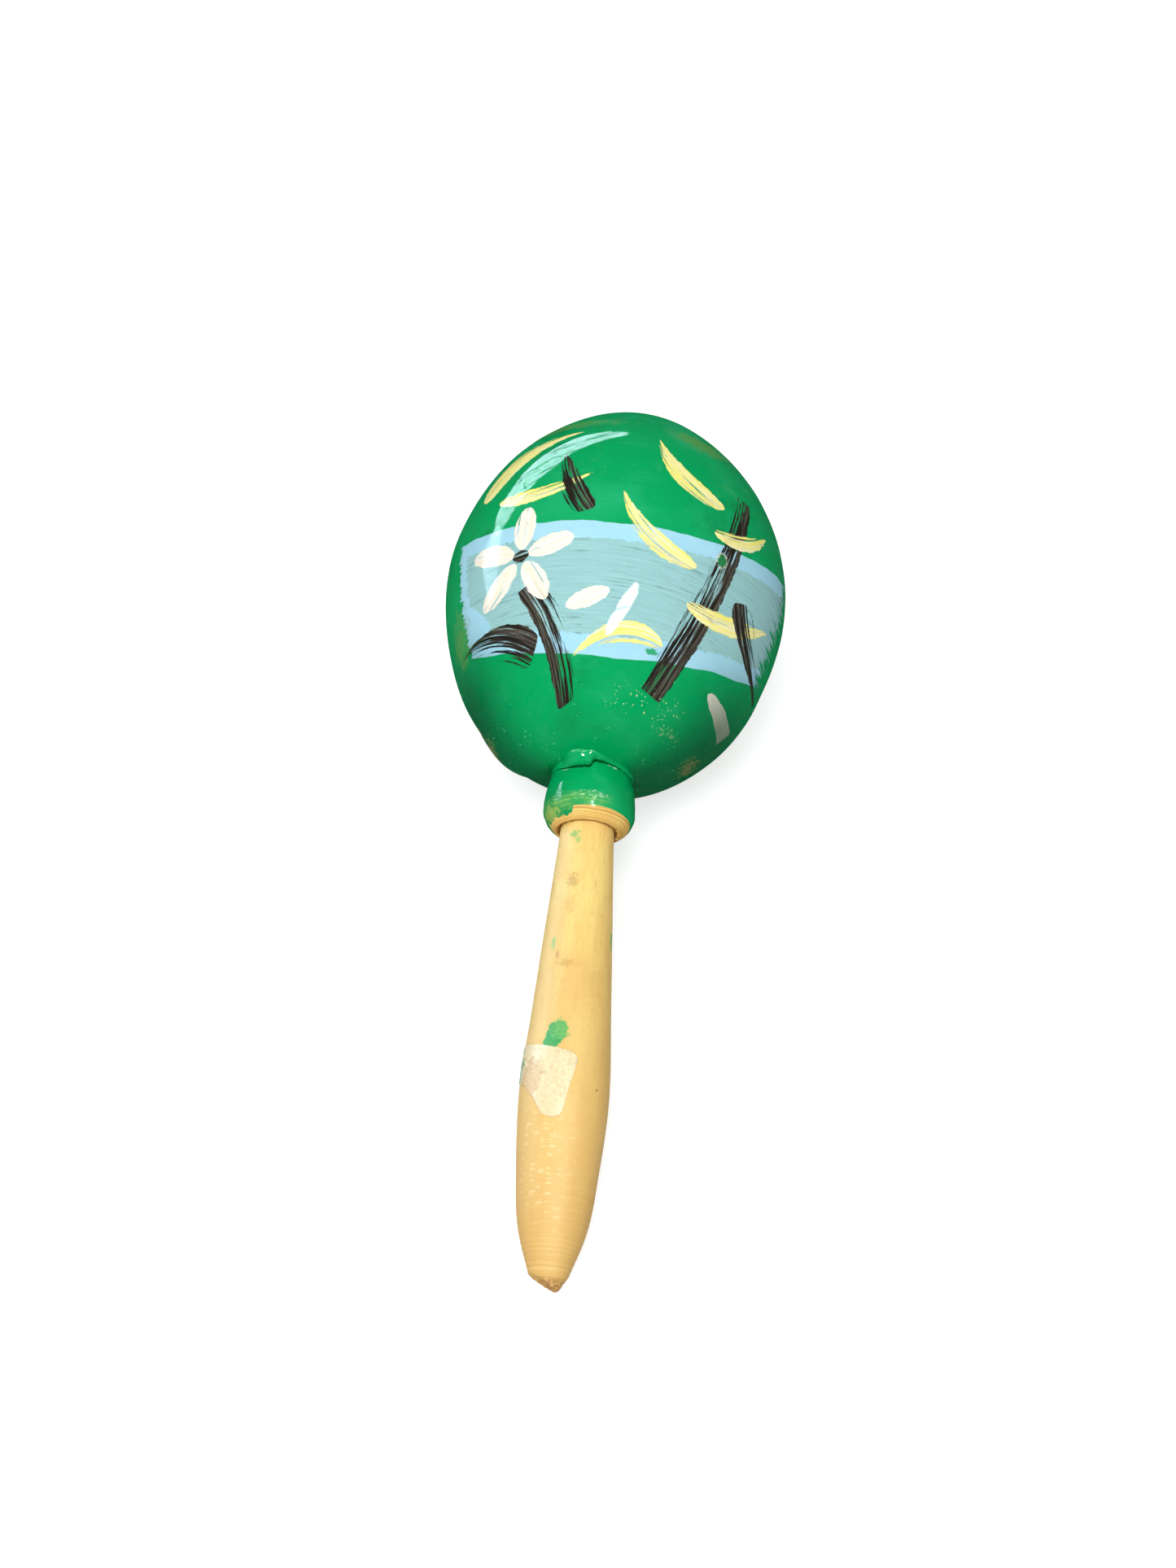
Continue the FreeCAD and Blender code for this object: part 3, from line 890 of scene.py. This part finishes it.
def stroke(colour, kind, x, height, turn, length, width, bow=0.0):
    """One stroke; its width is where it is widest, which depends on how blunt its ends are."""
    lift, finish = kind["Lift"], kind["Finish"]
    fullest = lift / (lift + finish)
    peak = fullest ** lift * (1 - fullest) ** finish
    return colour, dict(kind, Start=(x, height, 0), Turn=math.radians(turn), Length=length,
                        Width=width / peak, Bow=bow)


def flower(x, height, petals, reach, width):
    """Almond petals all round a middle, the first one pointing up."""
    made = []
    for i in range(petals):
        turn = 90 + 360 * i / petals
        away = Vector((math.cos(math.radians(turn)), math.sin(math.radians(turn)))) * 2.0
        made.append(stroke(CREAM, PETAL, x + away.x, height + away.y, turn, reach, width))
    return made + [stroke(INK, PETAL, x - 2.2, height, 8.0, 4.4, 3.2)]


STROKES = [
    stroke(INK, STEM, -20, 52, -62, 30, 7.0, 2.0),
    stroke(INK, COMMA, -16, 36, 166, 22, 8.5, -1.5),
    stroke(INK, STEM, 15, 30, 74, 64, 6.8, -4.5),
    stroke(YELLOW, LEAF, 17, 41, 196, 24, 5.2, -3.4),
    stroke(YELLOW, LEAF, 22, 52, 20, 23, 4.8, -3.4),
    stroke(YELLOW, LEAF, 23, 62, 140, 28, 5.8, 4.2),
    stroke(YELLOW, LEAF, 27, 74, 38, 17, 4.6, -3.0),
    stroke(YELLOW, LEAF, 28, 83, 134, 28, 6.4, 4.0),
    stroke(INK, COMMA, 36, 60, -64, 19, 6.2, -1.2),
    stroke(YELLOW, LEAF, -37, 83, 40, 33, 6.6, 4.6),
    stroke(YELLOW, LEAF, -32, 79, 14, 26, 4.8, -3.0),
    stroke(INK, COMMA, -7, 72, 112, 24, 7.0, 1.6),
    stroke(CREAM, PETAL, -9, 46, 24, 12, 4.6),
    stroke(CREAM, PETAL, 30, 36, -24, 12, 4.8),
] + flower(-23, 60, 5, 12.5, 5.8)
print(len(STROKES), "strokes")

# %% [markdown]
# ## The gourd's finish, coat by coat
# The material is built the way the gourd was painted: green first, then the band, then the
# strokes, and then everything that time did to it, with painted shade low on the flanks and a
# painted highlight round the wart. Each coat is laid over the last one, and adds to the height
# that feeds the bump, so the paint has an edge that catches the light.
# A renderer has room for only so many half-finished values. If all strokes read the same
# place, it starts on all of them at once and runs out. So each one reads the place by way of
# the one before, moved by far too little to see, and they are worked out one after another.


# %% Helper: make one coat wait for another
UNSEEN = 1e-5             # mm


def after(tree, place, mask):
    """The same place, but only known once the mask is."""
    return vectors(tree, "MULTIPLY_ADD", mask, (UNSEEN, UNSEEN, UNSEEN), place)


# %% Paint the gourd
gourd_paint, tree, shader = new_material("gourd paint")
place = use(tree, PLACE)
where = dict(Point=place["Point"], Turn=place["Turn"], Height=place["Height"])
enamel = use(tree, ENAMEL, **where)
colour, lift, rough = enamel["Colour"], enamel["Lift"], enamel["Rough"]
band_coat = use(tree, BAND, **where)
colour = over(tree, band_coat["Mask"], colour, band_coat["Colour"])
lift = plus(tree, lift, band_coat["Lift"])
flat = after(tree, place["Flat"], band_coat["Lift"])
for tint, how in STROKES:
    brushed = use(tree, STROKE, Place=flat, **how)
    mask = times(tree, brushed["Mask"], place["Upper"])
    flat = after(tree, flat, mask)
    thick, thin = tint
    colour = over(tree, mask, colour, over(tree, brushed["Streaks"], thick, thin))
    lift = times_plus(tree, mask, 0.8, lift)

# %% Wear the gourd, paint shade low on its flanks and a highlight round its wart
OLIVE = paint(122, 158, 72)
TAN = paint(196, 164, 104)
RUST = paint(176, 116, 58)
PALE_GOLD = paint(226, 232, 176)
WART = (WART_TURN, WART_RADIUS, WART_HEIGHT)
WEAR_AND_WART_HIGHLIGHT = [                  # tint, strength, turn-radius-height, size in mm, edge
    (OLIVE, 0.40, (-65, 43, 43), (3, 7, 9), (0.7, 0.45, 0.5)),
    (OLIVE, 0.45, (32, 38, 108), (8, 9, 4), (0.5, 0.5, 0.5)),
    (OLIVE, 0.35, (-30, 36, 110), (16, 8, 2.5), (0.6, 0.4, 0.5)),
    (TAN, 0.40, (-99, 28, 24), (3, 5, 2.5), (1.2, 1.0, 0.5)),
    (TAN, 0.30, (96, 28, 25), (3, 4, 2), (1.4, 1.0, 0.5)),
    (TAN, 0.50, (150, 45, 88), (9, 8, 9), (1.0, 0.6, 0.3)),
    (PALE_GOLD, 0.30, (52, 34, 25), (6, 5, 1.0), (1.3, 1.0, 0.5)),
    (RUST, 0.85, (-96, 31.5, 29.5), (1.5, 1.6, 1.9), (0.3, 0.8)),
    (GREEN, 0.90, (22.5, 38, 38.5), (1.7, 1.7, 0.7), (0.5, 1.4)),
    # Partly chipped paint and partly a painted highlight: a cream ring round the glossy wart.
    (CREAM[0], 0.75, WART, (1.6, 2.0, 2.0), (0.5, 1.3)),
    (GREEN_DEEP, 0.97, WART, (1.35, 2.0, 1.75), (0.35, 1.2)),
]
PAINTED_FLANK_SHADE = paint(0, 94, 52)             # painted shade: the lower flanks are painted a darker green
# Painted shade: darker towards the bottom of the head, on both flanks.
flanks = fade(tree, sums(tree, "ABSOLUTE", place["Turn"]), 34.0, 80.0)
shaded_low_flanks = times(tree, flanks, fade(tree, place["Height"], 52.0, 31.0))
colour = coat(tree, colour, PAINTED_FLANK_SHADE, shaded_low_flanks, 0.8)
point = after(tree, place["Point"], mask)
for tint, strength, spot, size, edge in WEAR_AND_WART_HIGHLIGHT:
    mask = mark(tree, point, spot, size, *edge)
    point = after(tree, point, mask)
    colour = coat(tree, colour, tint, mask, strength)
    rough = times_plus(tree, mask, 0.15, rough)

# %% Scatter specks and scratches over its foot
speck_area = mark(tree, point, (30, 30, 28.5), (12, 9, 3.2), 0.4, 0.3, 0.3)
specks = flecks(tree, place["Point"], 1.3, 0.36, 0.5)
specks = times(tree, specks, speck_area)
colour = coat(tree, colour, PALE_GOLD, specks, 0.8)
lift = plus(tree, lift, specks)
near_foot = fade(tree, place["Height"], 34.0, 23.0, 0.0, 0.45)
scratched = flecks(tree, vectors(tree, "MULTIPLY", place["Point"], (0.7, 1, 1.6)), 0.9, 0.42, 0.45)
in_patches = fade(tree, grain(tree, place["Point"], 0.16, 3.0), 0.45, 0.6)
colour = coat(tree, colour, paint(96, 204, 146), scratched, in_patches, near_foot)

# %% Let the gourd shine, brushed and pitted
surface(tree, shader, colour, rough)
slanted = times_plus(tree, place["Turn"], -0.35, place["Height"])
shine = bristles(tree, place["Turn"], slanted, 0.8, 4.0)
shine = fade(tree, shine, 0.22, 0.36, 0.01, 0.13)
pits = fade(tree, grain(tree, place["Point"], 1.1, 4.0, 0.75), 0.36, 0.44)
gloss(tree, shader, times(tree, shine, pits))
raised(tree, shader, lift, 0.10)
dress(gourd_paint, gourd)

# %% [markdown]
# ## Wood
# The handle is a pale, close-grained wood under satin varnish. Its grain runs lengthwise and
# is so fine that it shows mostly as a warm unevenness, a little darker towards the tip.
# Handling left brown stains on it, and the painter's thumb left green smears. The bare mouth
# of the collar is the same wood.

# %% Group: pale wood
WOOD_LIGHT = paint(250, 218, 130)
WOOD_WARM = paint(241, 200, 112)
WOOD_DARK = paint(212, 160, 82)
WOOD, entry, leave = new_group(
    "pale wood", {"Point": (0, 0, 0)}, {"Colour": "colour", "Lift": "number"},
)
fibres = grain(WOOD, entry["Point"], 1.0, 5.0, 0.7, stretch=(2.6, 2.6, 0.10))
flame = grain(WOOD, entry["Point"], 1.0, 3.0, 0.5, stretch=(0.13, 0.13, 0.03), warp=0.5)
mottle = grain(WOOD, entry["Point"], 0.5, 4.0, 0.6, stretch=(1, 1, 0.6))
colour = over(WOOD, fade(WOOD, flame, 0.35, 0.65), WOOD_LIGHT, WOOD_WARM)
colour = over(WOOD, fade(WOOD, fibres, 0.50, 0.76, 0.0, 0.42), colour, WOOD_DARK)
colour = over(WOOD, fade(WOOD, mottle, 0.52, 0.72, 0.0, 0.26), colour, WOOD_DARK)
pores = flecks(WOOD, vectors(WOOD, "MULTIPLY", entry["Point"], (1, 1, 0.35)), 1.1, 0.22, 0.26)
colour = coat(WOOD, colour, WOOD_DARK, pores, 0.50)
feed(WOOD, leave["Colour"], colour)
feed(WOOD, leave["Lift"], minus(WOOD, times(WOOD, fibres, 0.6), pores))

# %% Group: lathe rings
RINGS, entry, leave = new_group(
    "lathe rings", {"Point": (0, 0, 0), "Height": 0.0, "Spacing": 0.8}, {"Rings": "number"},
)
sway = times_plus(RINGS, grain(RINGS, entry["Point"], 0.12, 2.0), 0.8, entry["Height"])
counted = join(RINGS, 0.0, 0.0, sums(RINGS, "DIVIDE", sway, entry["Spacing"]))
feed(RINGS, leave["Rings"], fade(RINGS, grain(RINGS, counted, 1.0, 3.0, 0.6), 0.35, 0.65))

# %% Start the handle: wood, rings and a silky patch
handle_finish, tree, shader = new_material("handle varnish")
place = use(tree, PLACE)
wood = use(tree, WOOD, Point=place["Point"])
rings = use(tree, RINGS, Point=place["Point"], Height=place["Height"], Spacing=0.9)["Rings"]
colour, lift = wood["Colour"], wood["Lift"]
towards_tip = fade(tree, place["Height"], -15.0, -95.0, 0.0, 0.75)
colour = over(tree, towards_tip, colour, paint(229, 185, 108))
turned_part = fade(tree, place["Height"], -86.0, -112.0, 0.05, 1.0)
ring_marks = times(tree, rings, turned_part)
colour = coat(tree, colour, paint(208, 160, 88), ring_marks, 0.42)
silk = mark(tree, place["Point"], (-28, 10.5, -91), (9, 6, 15), 0.6, 0.3, 0.5)
squeezed = vectors(tree, "MULTIPLY", place["Point"], (0.45, 0.45, 1.3))
dashes = flecks(tree, squeezed, 1.0, 0.6, 0.6)
colour = coat(tree, colour, paint(255, 228, 164), silk, dashes, 0.45)
broken = fade(tree, place["Height"], -117.6, -118.6)
splintered = fade(tree, grain(tree, place["Point"], 1.5, 4.0), 0.4, 0.6, 0.2, 0.8)
colour = coat(tree, colour, paint(168, 112, 56), broken, splintered)
lift = times_plus(tree, ring_marks, 0.8, lift)

# %% Stain and smear the handle
STAIN = paint(186, 132, 62)
SMEAR = paint(52, 164, 80)
SMEAR_THIN = paint(112, 190, 96)
STAINS = [                # listed the same way
    (STAIN, 0.55, (-16, 8.2, -16.3), (1.2, 1.8, 2.2), (0.9, 1.3, 0.7)),
    (STAIN, 0.25, (-20, 8.4, -22.5), (2.0, 1.8, 2.4), (1.0, 1.1, 0.7)),
    (STAIN, 0.40, (-12, 9.6, -39.8), (2.4, 1.6, 0.8), (1.2, 1.1, 0.7)),
    (STAIN, 0.60, (-28, 9.4, -37.4), (0.4, 1.0, 1.3), (0.5, 1.0, 0.5)),
    (STAIN, 0.12, (10, 9.6, -45.0), (6.0, 3.0, 7.0), (1.0, 0.6, 0.7)),
    (paint(150, 96, 40), 0.6, (47, 11.3, -72.4), (0.35, 0.6, 0.28), (0.3, 1.0)),
    (SMEAR_THIN, 0.90, (-22, 7.4, -2.4), (1.5, 1.0, 0.9), (0.8, 1.2, 0.3)),
    (SMEAR_THIN, 0.75, (-14, 7.5, -4.2), (0.7, 0.8, 1.0), (0.6, 1.2, 0.3)),
    (SMEAR_THIN, 0.80, (-38, 9.4, -34.0), (0.7, 1.0, 1.7), (0.8, 1.2, 0.4)),
    (SMEAR_THIN, 0.85, (77, 9.3, -30.5), (1.0, 1.2, 2.6), (0.5, 1.0, 0.4)),
    (SMEAR, 0.97, (-14, 10.7, -58.7), (2.7, 2.2, 3.1), (0.28, 0.9, 0.08)),
    (SMEAR, 0.97, (-20, 10.8, -61.3), (2.5, 2.2, 1.9), (0.28, 0.9, 0.08)),
    (SMEAR_THIN, 0.85, (-10, 10.7, -58.4), (2.0, 2.2, 2.6), (0.9, 1.0, 0.3)),
]
point = after(tree, place["Point"], lift)
for tint, strength, spot, size, edge in STAINS:
    mask = mark(tree, point, spot, size, *edge)
    point = after(tree, point, mask)
    if tint == SMEAR_THIN:
        thinned = fade(tree, grain(tree, point, 1.3, 4.0, 0.7), 0.35, 0.6, 0.35, 1.0)
        mask = times(tree, mask, thinned)
    colour = coat(tree, colour, tint, mask, strength)
satin = grain(tree, place["Point"], 0.3, 4.0)
surface(tree, shader, colour, fade(tree, satin, 0.3, 0.7, 0.55, 0.68))
shader.inputs["Specular IOR Level"].default_value = 0.12
raised(tree, shader, lift, 0.06)
dress(handle_finish, handle)

# %% [markdown]
# ## Collar and filler
# The collar wears the same enamel, rubbed thin in rings on its shoulder by the hand that
# holds it. Round its mouth a crescent of bare wood was left, with a crisp painted edge.

# %% Start the collar: enamel, rubbed rings and painted glints
collar_finish, tree, shader = new_material("collar enamel")
place = use(tree, PLACE)
point, turn, height = place["Point"], place["Turn"], place["Height"]
enamel = use(tree, ENAMEL, Point=point, Turn=turn, Height=height)
wood = use(tree, WOOD, Point=point)
rings = use(tree, RINGS, Point=point, Height=height, Spacing=0.45)["Rings"]
worn_low = times(tree, fade(tree, height, 8.6, 6.4), fade(tree, height, 2.0, 4.6))
worn_turn = times(tree, fade(tree, turn, -110.0, -60.0), fade(tree, turn, 45.0, 5.0))
in_rings = fade(tree, rings, 0.25, 0.8, 0.25, 1.0)
patchy = fade(tree, grain(tree, point, 0.5, 4.0, 0.7), 0.38, 0.62, 0.35, 1.0)
rubbed = times(tree, worn_low, worn_turn, in_rings, patchy, 0.95)
colour = over(tree, rubbed, enamel["Colour"], paint(132, 198, 104))
# Painted highlight: a pale patch of flecks on the band, where a glint falls.
painted_glint_area = mark(tree, point, (5, 12.4, 7.2), (4.2, 3.0, 0.9), 0.6, 0.8, 0.4)
stretched = vectors(tree, "MULTIPLY", point, (0.6, 0.6, 1.6))
glint_flecks = flecks(tree, stretched, 1.7, 0.55, 0.75)
colour = coat(tree, colour, paint(205, 242, 222), painted_glint_area, glint_flecks, 0.85)
# Painted highlights: three pale marks along the torn top edge of the collar.
for spot, size in (((-36, 11.2, 15.7), (1.6, 1.2, 0.35)), ((27, 11.0, 17.1), (0.8, 1.2, 0.3)),
                   ((35, 11.2, 16.8), (0.6, 1.0, 0.45))):
    seed_skin_and_glint = mark(tree, point, spot, size, 0.9, 1.5, 0.3)
    colour = coat(tree, colour, paint(160, 228, 190), seed_skin_and_glint, 0.75)

# %% Bare the wood at the collar's mouth
ragged_edge = minus(tree, grain(tree, point, 0.55, 3.0, 0.6), 0.5)
from_middle = minus(tree, turn, 14.0)
crisp = times_plus(tree, times(tree, from_middle, from_middle), -0.00016, 4.2)
left_edge = times_plus(tree, ragged_edge, 1.6, 2.4)
left_edge = times_plus(tree, fade(tree, turn, -24.0, -16.0), 2.4, left_edge)
paint_line = sums(tree, "MINIMUM", crisp, left_edge)
bare = fade(tree, minus(tree, paint_line, height), -0.05, 0.10)
bared_turns = times(tree, fade(tree, turn, -118.0, -104.0), fade(tree, turn, 150.0, 130.0))
mouth = fade(tree, height, 1.7, 1.3)
bare = sums(tree, "MAXIMUM", times(tree, bare, bared_turns), mouth)
from_axis = vectors(tree, "LENGTH", vectors(tree, "MULTIPLY", point, (1, 1, 0)))
bare = sums(tree, "MAXIMUM", bare, fade(tree, from_axis, 8.4, 8.2))
rubbed_rim = mark(tree, point, (-62, 11.6, 3.6), (3.0, 4.2, 1.6), 0.9, 0.9, 0.4)
colour = coat(tree, colour, paint(170, 196, 96), rubbed_rim, 0.7)
turned_lines = times(tree, fade(tree, rings, 0.35, 0.75), 0.75)
bare_wood = over(tree, turned_lines, wood["Colour"], paint(204, 148, 74))
nibbled = times_plus(tree, grain(tree, point, 1.6, 2.0, 0.6), 0.9, from_axis)
edge_shade = fade(tree, nibbled, 8.75, 8.35, 0.0, 0.85)
bare_wood = over(tree, edge_shade, bare_wood, paint(132, 84, 38))
colour = over(tree, bare, colour, bare_wood)
surface(tree, shader, colour, times_plus(tree, bare, 0.30, enamel["Rough"]))
lift = times_plus(tree, minus(tree, 1.0, bare), 0.8, enamel["Lift"])
raised(tree, shader, times_plus(tree, rings, 0.35, lift), 0.10)
gloss(tree, shader, fade(tree, rings, 0.2, 0.6, 0.14, 0.06))
dress(collar_finish, collar)

# %% Finish the filler
filler_finish, tree, shader = new_material("painted putty")
place = use(tree, PLACE)
point = place["Point"]
enamel = use(tree, ENAMEL, Point=point, Turn=place["Turn"], Height=place["Height"])
crumbly = grain(tree, point, 0.9, 5.0, 0.7)
# Painted highlight: a pale arc along the crest of the putty dab, broken up by the crumbs.
painted_crest_highlight = mark(tree, point, (-14, 14.2, 19.6), (7.5, 1.4, 1.0), 0.35, 0.7, 0.3)
crest_highlight_share = times(tree, painted_crest_highlight, fade(tree, crumbly, 0.42, 0.60), 0.7)
colour = over(tree, crest_highlight_share, enamel["Colour"], paint(140, 222, 178))
surface(tree, shader, colour, enamel["Rough"])
raised(tree, shader, times_plus(tree, crumbly, 1.2, enamel["Lift"]), 0.12)
gloss(tree, shader, fade(tree, crumbly, 0.4, 0.6, 0.07, 0.16))
dress(filler_finish, filler)

# %% [markdown]
# ## Tape and seeds
# Old clear tape has gone milky where air got under it and stays clear where it still sticks.
# Its Alpha follows that. The seeds are dark and hard, with a worn shine.

# %% Finish the tape
tape_finish, tree, shader = new_material("aged tape")
place = use(tree, PLACE)
point = place["Point"]
stuck = mark(tree, point, (-47, 11.4, -70.5), (3.6, 4.0, 5.0), 0.45, 0.45, 0.2)
bubbles = grain(tree, point, 1.1, 4.0, 0.65)
milk = fade(tree, bubbles, 0.25, 0.75, 0.45, 1.0)
milk = sums(tree, "MULTIPLY_ADD", stuck, -0.55, milk, clamp=True)
colour = over(tree, milk, paint(248, 216, 160), paint(255, 238, 194))
for spot, size, tint in (((-72, 11.3, -65.6), (1.3, 1.6, 1.5), paint(60, 158, 100)),
                         ((-80, 11.3, -69.0), (1.6, 2.2, 2.6), paint(150, 200, 172)),
                         ((-80, 11.3, -62.5), (1.6, 2.2, 1.6), paint(196, 214, 188))):
    smear = mark(tree, point, spot, size, 0.7, 1.0, 0.25)
    colour = coat(tree, colour, tint, smear, 0.85)
surface(tree, shader, colour, fade(tree, bubbles, 0.3, 0.7, 0.35, 0.5))
feed(tree, shader.inputs["Alpha"], fade(tree, milk, 0.0, 0.9, 0.60, 0.90))
shader.inputs["Specular IOR Level"].default_value = 0.15
raised(tree, shader, bubbles, 0.10)
dress(tape_finish, tape)

# %% Finish the seeds
seed_finish, tree, shader = new_material("seed coat")
position = tree.nodes.new("ShaderNodeTexCoord").outputs["Object"]
position = vectors(tree, "MULTIPLY", position, (1000, 1000, 1000))
seed_skin_and_glint = grain(tree, position, 0.6, 4.0, 0.6)
colour = over(tree, fade(tree, seed_skin_and_glint, 0.35, 0.65), paint(52, 34, 22), paint(96, 64, 40))
freckles = flecks(tree, position, 1.4, 0.5, 0.3)
colour = coat(tree, colour, paint(140, 104, 66), freckles, 0.5)
surface(tree, shader, colour, fade(tree, seed_skin_and_glint, 0.3, 0.7, 0.28, 0.5))
raised(tree, shader, plus(tree, seed_skin_and_glint, freckles), 0.06)
dress(seed_finish, *seeds)

# %% [markdown]
# ## The camera
# The maraca is seen from its handle end, from well above. The camera is set by the view:
# how steeply it looks down, how far it is turned, and where the waist of the handle lies
# from it, as so far to the right, so far down and so far ahead.

# %% Set up the camera
SENSOR = 36.0
LENS = 44.8365            # mm, a little longer than the sensor is high
LOOK_DOWN = math.radians(49.97)
HEADING = math.radians(4.65)
waist_from_camera = Vector((-0.000299, 0.014266, 0.521365))
level = Vector((-math.sin(HEADING), math.cos(HEADING), 0))
right = Vector((math.cos(HEADING), math.sin(HEADING), 0))
ahead = level * math.cos(LOOK_DOWN) - Vector((0, 0, 1)) * math.sin(LOOK_DOWN)
up = right.cross(ahead)
camera_data = bpy.data.cameras.new("camera")
camera_data.sensor_width = SENSOR
camera_data.lens = LENS
camera = bpy.data.objects.new("camera", camera_data)
bpy.context.scene.collection.objects.link(camera)
turned_to = Matrix((right, up, -ahead)).transposed().to_4x4()
over_right, under, distance = waist_from_camera
from_waist = up * under - right * over_right - ahead * distance
turned_to.translation = handle_place.translation + from_waist
camera.matrix_world = turned_to
bpy.context.scene.camera = camera
print("the camera stands at", [round(c, 3) for c in camera.location])

# %% [markdown]
# ## Floor and light
# A pale room and one soft box light everything evenly. The soft box isn't mirrored in the
# enamel, because that would veil the green. What the enamel mirrors is three lamps that light
# nothing else: a long one over the camera, which gives the bright streak, a wide strip of cool
# sky low beyond the gourd, and a low window on its left. The long lamp's place is worked out
# from the curve of the rind. The floor and the room look white because they shine white for
# whatever looks at them or mirrors them, and not because more light falls on the maraca.

# %% Helper: what the camera, a gloss or a clear film sees
def seen_directly(tree):
    """1 for what is looked at or mirrored, 0 for the light that a surface sends on."""
    ray = tree.nodes.new("ShaderNodeLightPath").outputs
    seen = plus(tree, ray["Is Camera Ray"], ray["Is Glossy Ray"])
    return sums(tree, "ADD", seen, ray["Is Transmission Ray"], clamp=True)


# %% Lay the floor
floor_mesh = bmesh.new()
bmesh.ops.create_grid(floor_mesh, x_segments=8, y_segments=8, size=4.0)
floor_data = bpy.data.meshes.new("floor")
floor_mesh.to_mesh(floor_data)
floor_mesh.free()
floor = bpy.data.objects.new("floor", floor_data)
bpy.context.scene.collection.objects.link(floor)
FLOOR_NEAR, FLOOR_FAR = 0.72, 0.88      # the white it needs near the lamps and beyond them
floor_finish, tree, shader = new_material("pale floor")
for title, value in (("Base Color", paint(196, 196, 196)), ("Roughness", 1.0),
                     ("Specular IOR Level", 0.0), ("Emission Color", (1, 1, 1, 1))):
    shader.inputs[title].default_value = value
reached = vectors(tree, "LENGTH", tree.nodes.new("ShaderNodeTexCoord").outputs["Object"])
whitening = fade(tree, reached, 0.4, 2.6, FLOOR_NEAR, FLOOR_FAR)
feed(tree, shader.inputs["Emission Strength"], times(tree, seen_directly(tree), whitening))
floor_data.materials.append(floor_finish)
print("floor:", len(floor_data.polygons), "squares")

# %% Find where the gourd mirrors the long lamp
GLINT_TURN, GLINT_HEIGHT, GLINT_RADIUS = 7.6, 50.0, 43.7
LEVELLING = 0.44          # how far the rind's radius grows with each step of height there


def out_from_gourd(turn, radius, height, slope):
    """A point on the gourd in the room, and the way out of the rind there."""
    spot = gourd_place @ (from_upper(turn, radius, height) * MM)
    flat_out = from_upper(turn, 1, -slope)
    return spot, (gourd_place.to_3x3() @ flat_out).normalized()


glint, outwards = out_from_gourd(GLINT_TURN, GLINT_RADIUS, GLINT_HEIGHT, LEVELLING)
to_camera = (camera.location - glint).normalized()
to_lamp = 2 * to_camera.dot(outwards) * outwards - to_camera
print("the long lamp is seen", round(math.degrees(math.asin(to_lamp.z))), "degrees up")


# %% Helper: an area lamp
COOL = (0.62, 0.88, 1.0)


def lamp(name, at, towards, wide, high, watts, tint=(1, 1, 1), roll=0.0):
    data = bpy.data.lights.new(name, "AREA")
    data.shape = "ELLIPSE"
    data.size = wide
    data.size_y = high
    data.energy = watts
    data.color = tint
    light = bpy.data.objects.new(name, data)
    bpy.context.scene.collection.objects.link(light)
    aim = (towards - at).to_track_quat("-Z", "Y").to_matrix().to_4x4()
    rolled = Matrix.Rotation(math.radians(roll), 4, "Z")
    light.matrix_world = Matrix.Translation(at) @ aim @ rolled
    return light


# %% Hang the lamps that are only mirrored, and the soft box that isn't
behind_gourd = Vector((0, 0.08, 0.06))
left_of_gourd = Vector((0, 0.08, 0.05))
mirrored = [
    lamp("long lamp", glint + to_lamp * 1.1, glint, 0.15, 0.58, 85.0, (1.0, 0.985, 0.96), -50),
    lamp("sky", Vector((-0.76, 1.30, 0.37)), behind_gourd, 1.75, 0.42, 210.0, COOL),
    lamp("window", Vector((-1.25, 0.50, 0.26)), left_of_gourd, 0.60, 0.34, 32.0, COOL),
]
for light in mirrored:
    light.visible_diffuse = False
box_place = glint + to_lamp * 1.3 + Vector((-0.32, 0, 0.1))
soft_box = lamp("soft box", box_place, glint, 0.8, 0.8, 19.5)
soft_box.visible_glossy = False
print("mirrored lamps:", [light.name for light in mirrored])

# %% Fill the room with light
ROOM_LIGHT = 0.24         # of white, on the maraca; what looks at the room sees plain white
room = bpy.data.worlds.new("room")
bpy.context.scene.world = room
room.use_nodes = True
tree = room.node_tree
walls = tree.nodes["Background"]
walls.inputs["Color"].default_value = (1, 1, 1, 1)
feed(tree, walls.inputs["Strength"],
     times_plus(tree, seen_directly(tree), 1.0 - ROOM_LIGHT, ROOM_LIGHT))
bpy.context.scene.view_settings.view_transform = "Standard"
print("room light:", ROOM_LIGHT)
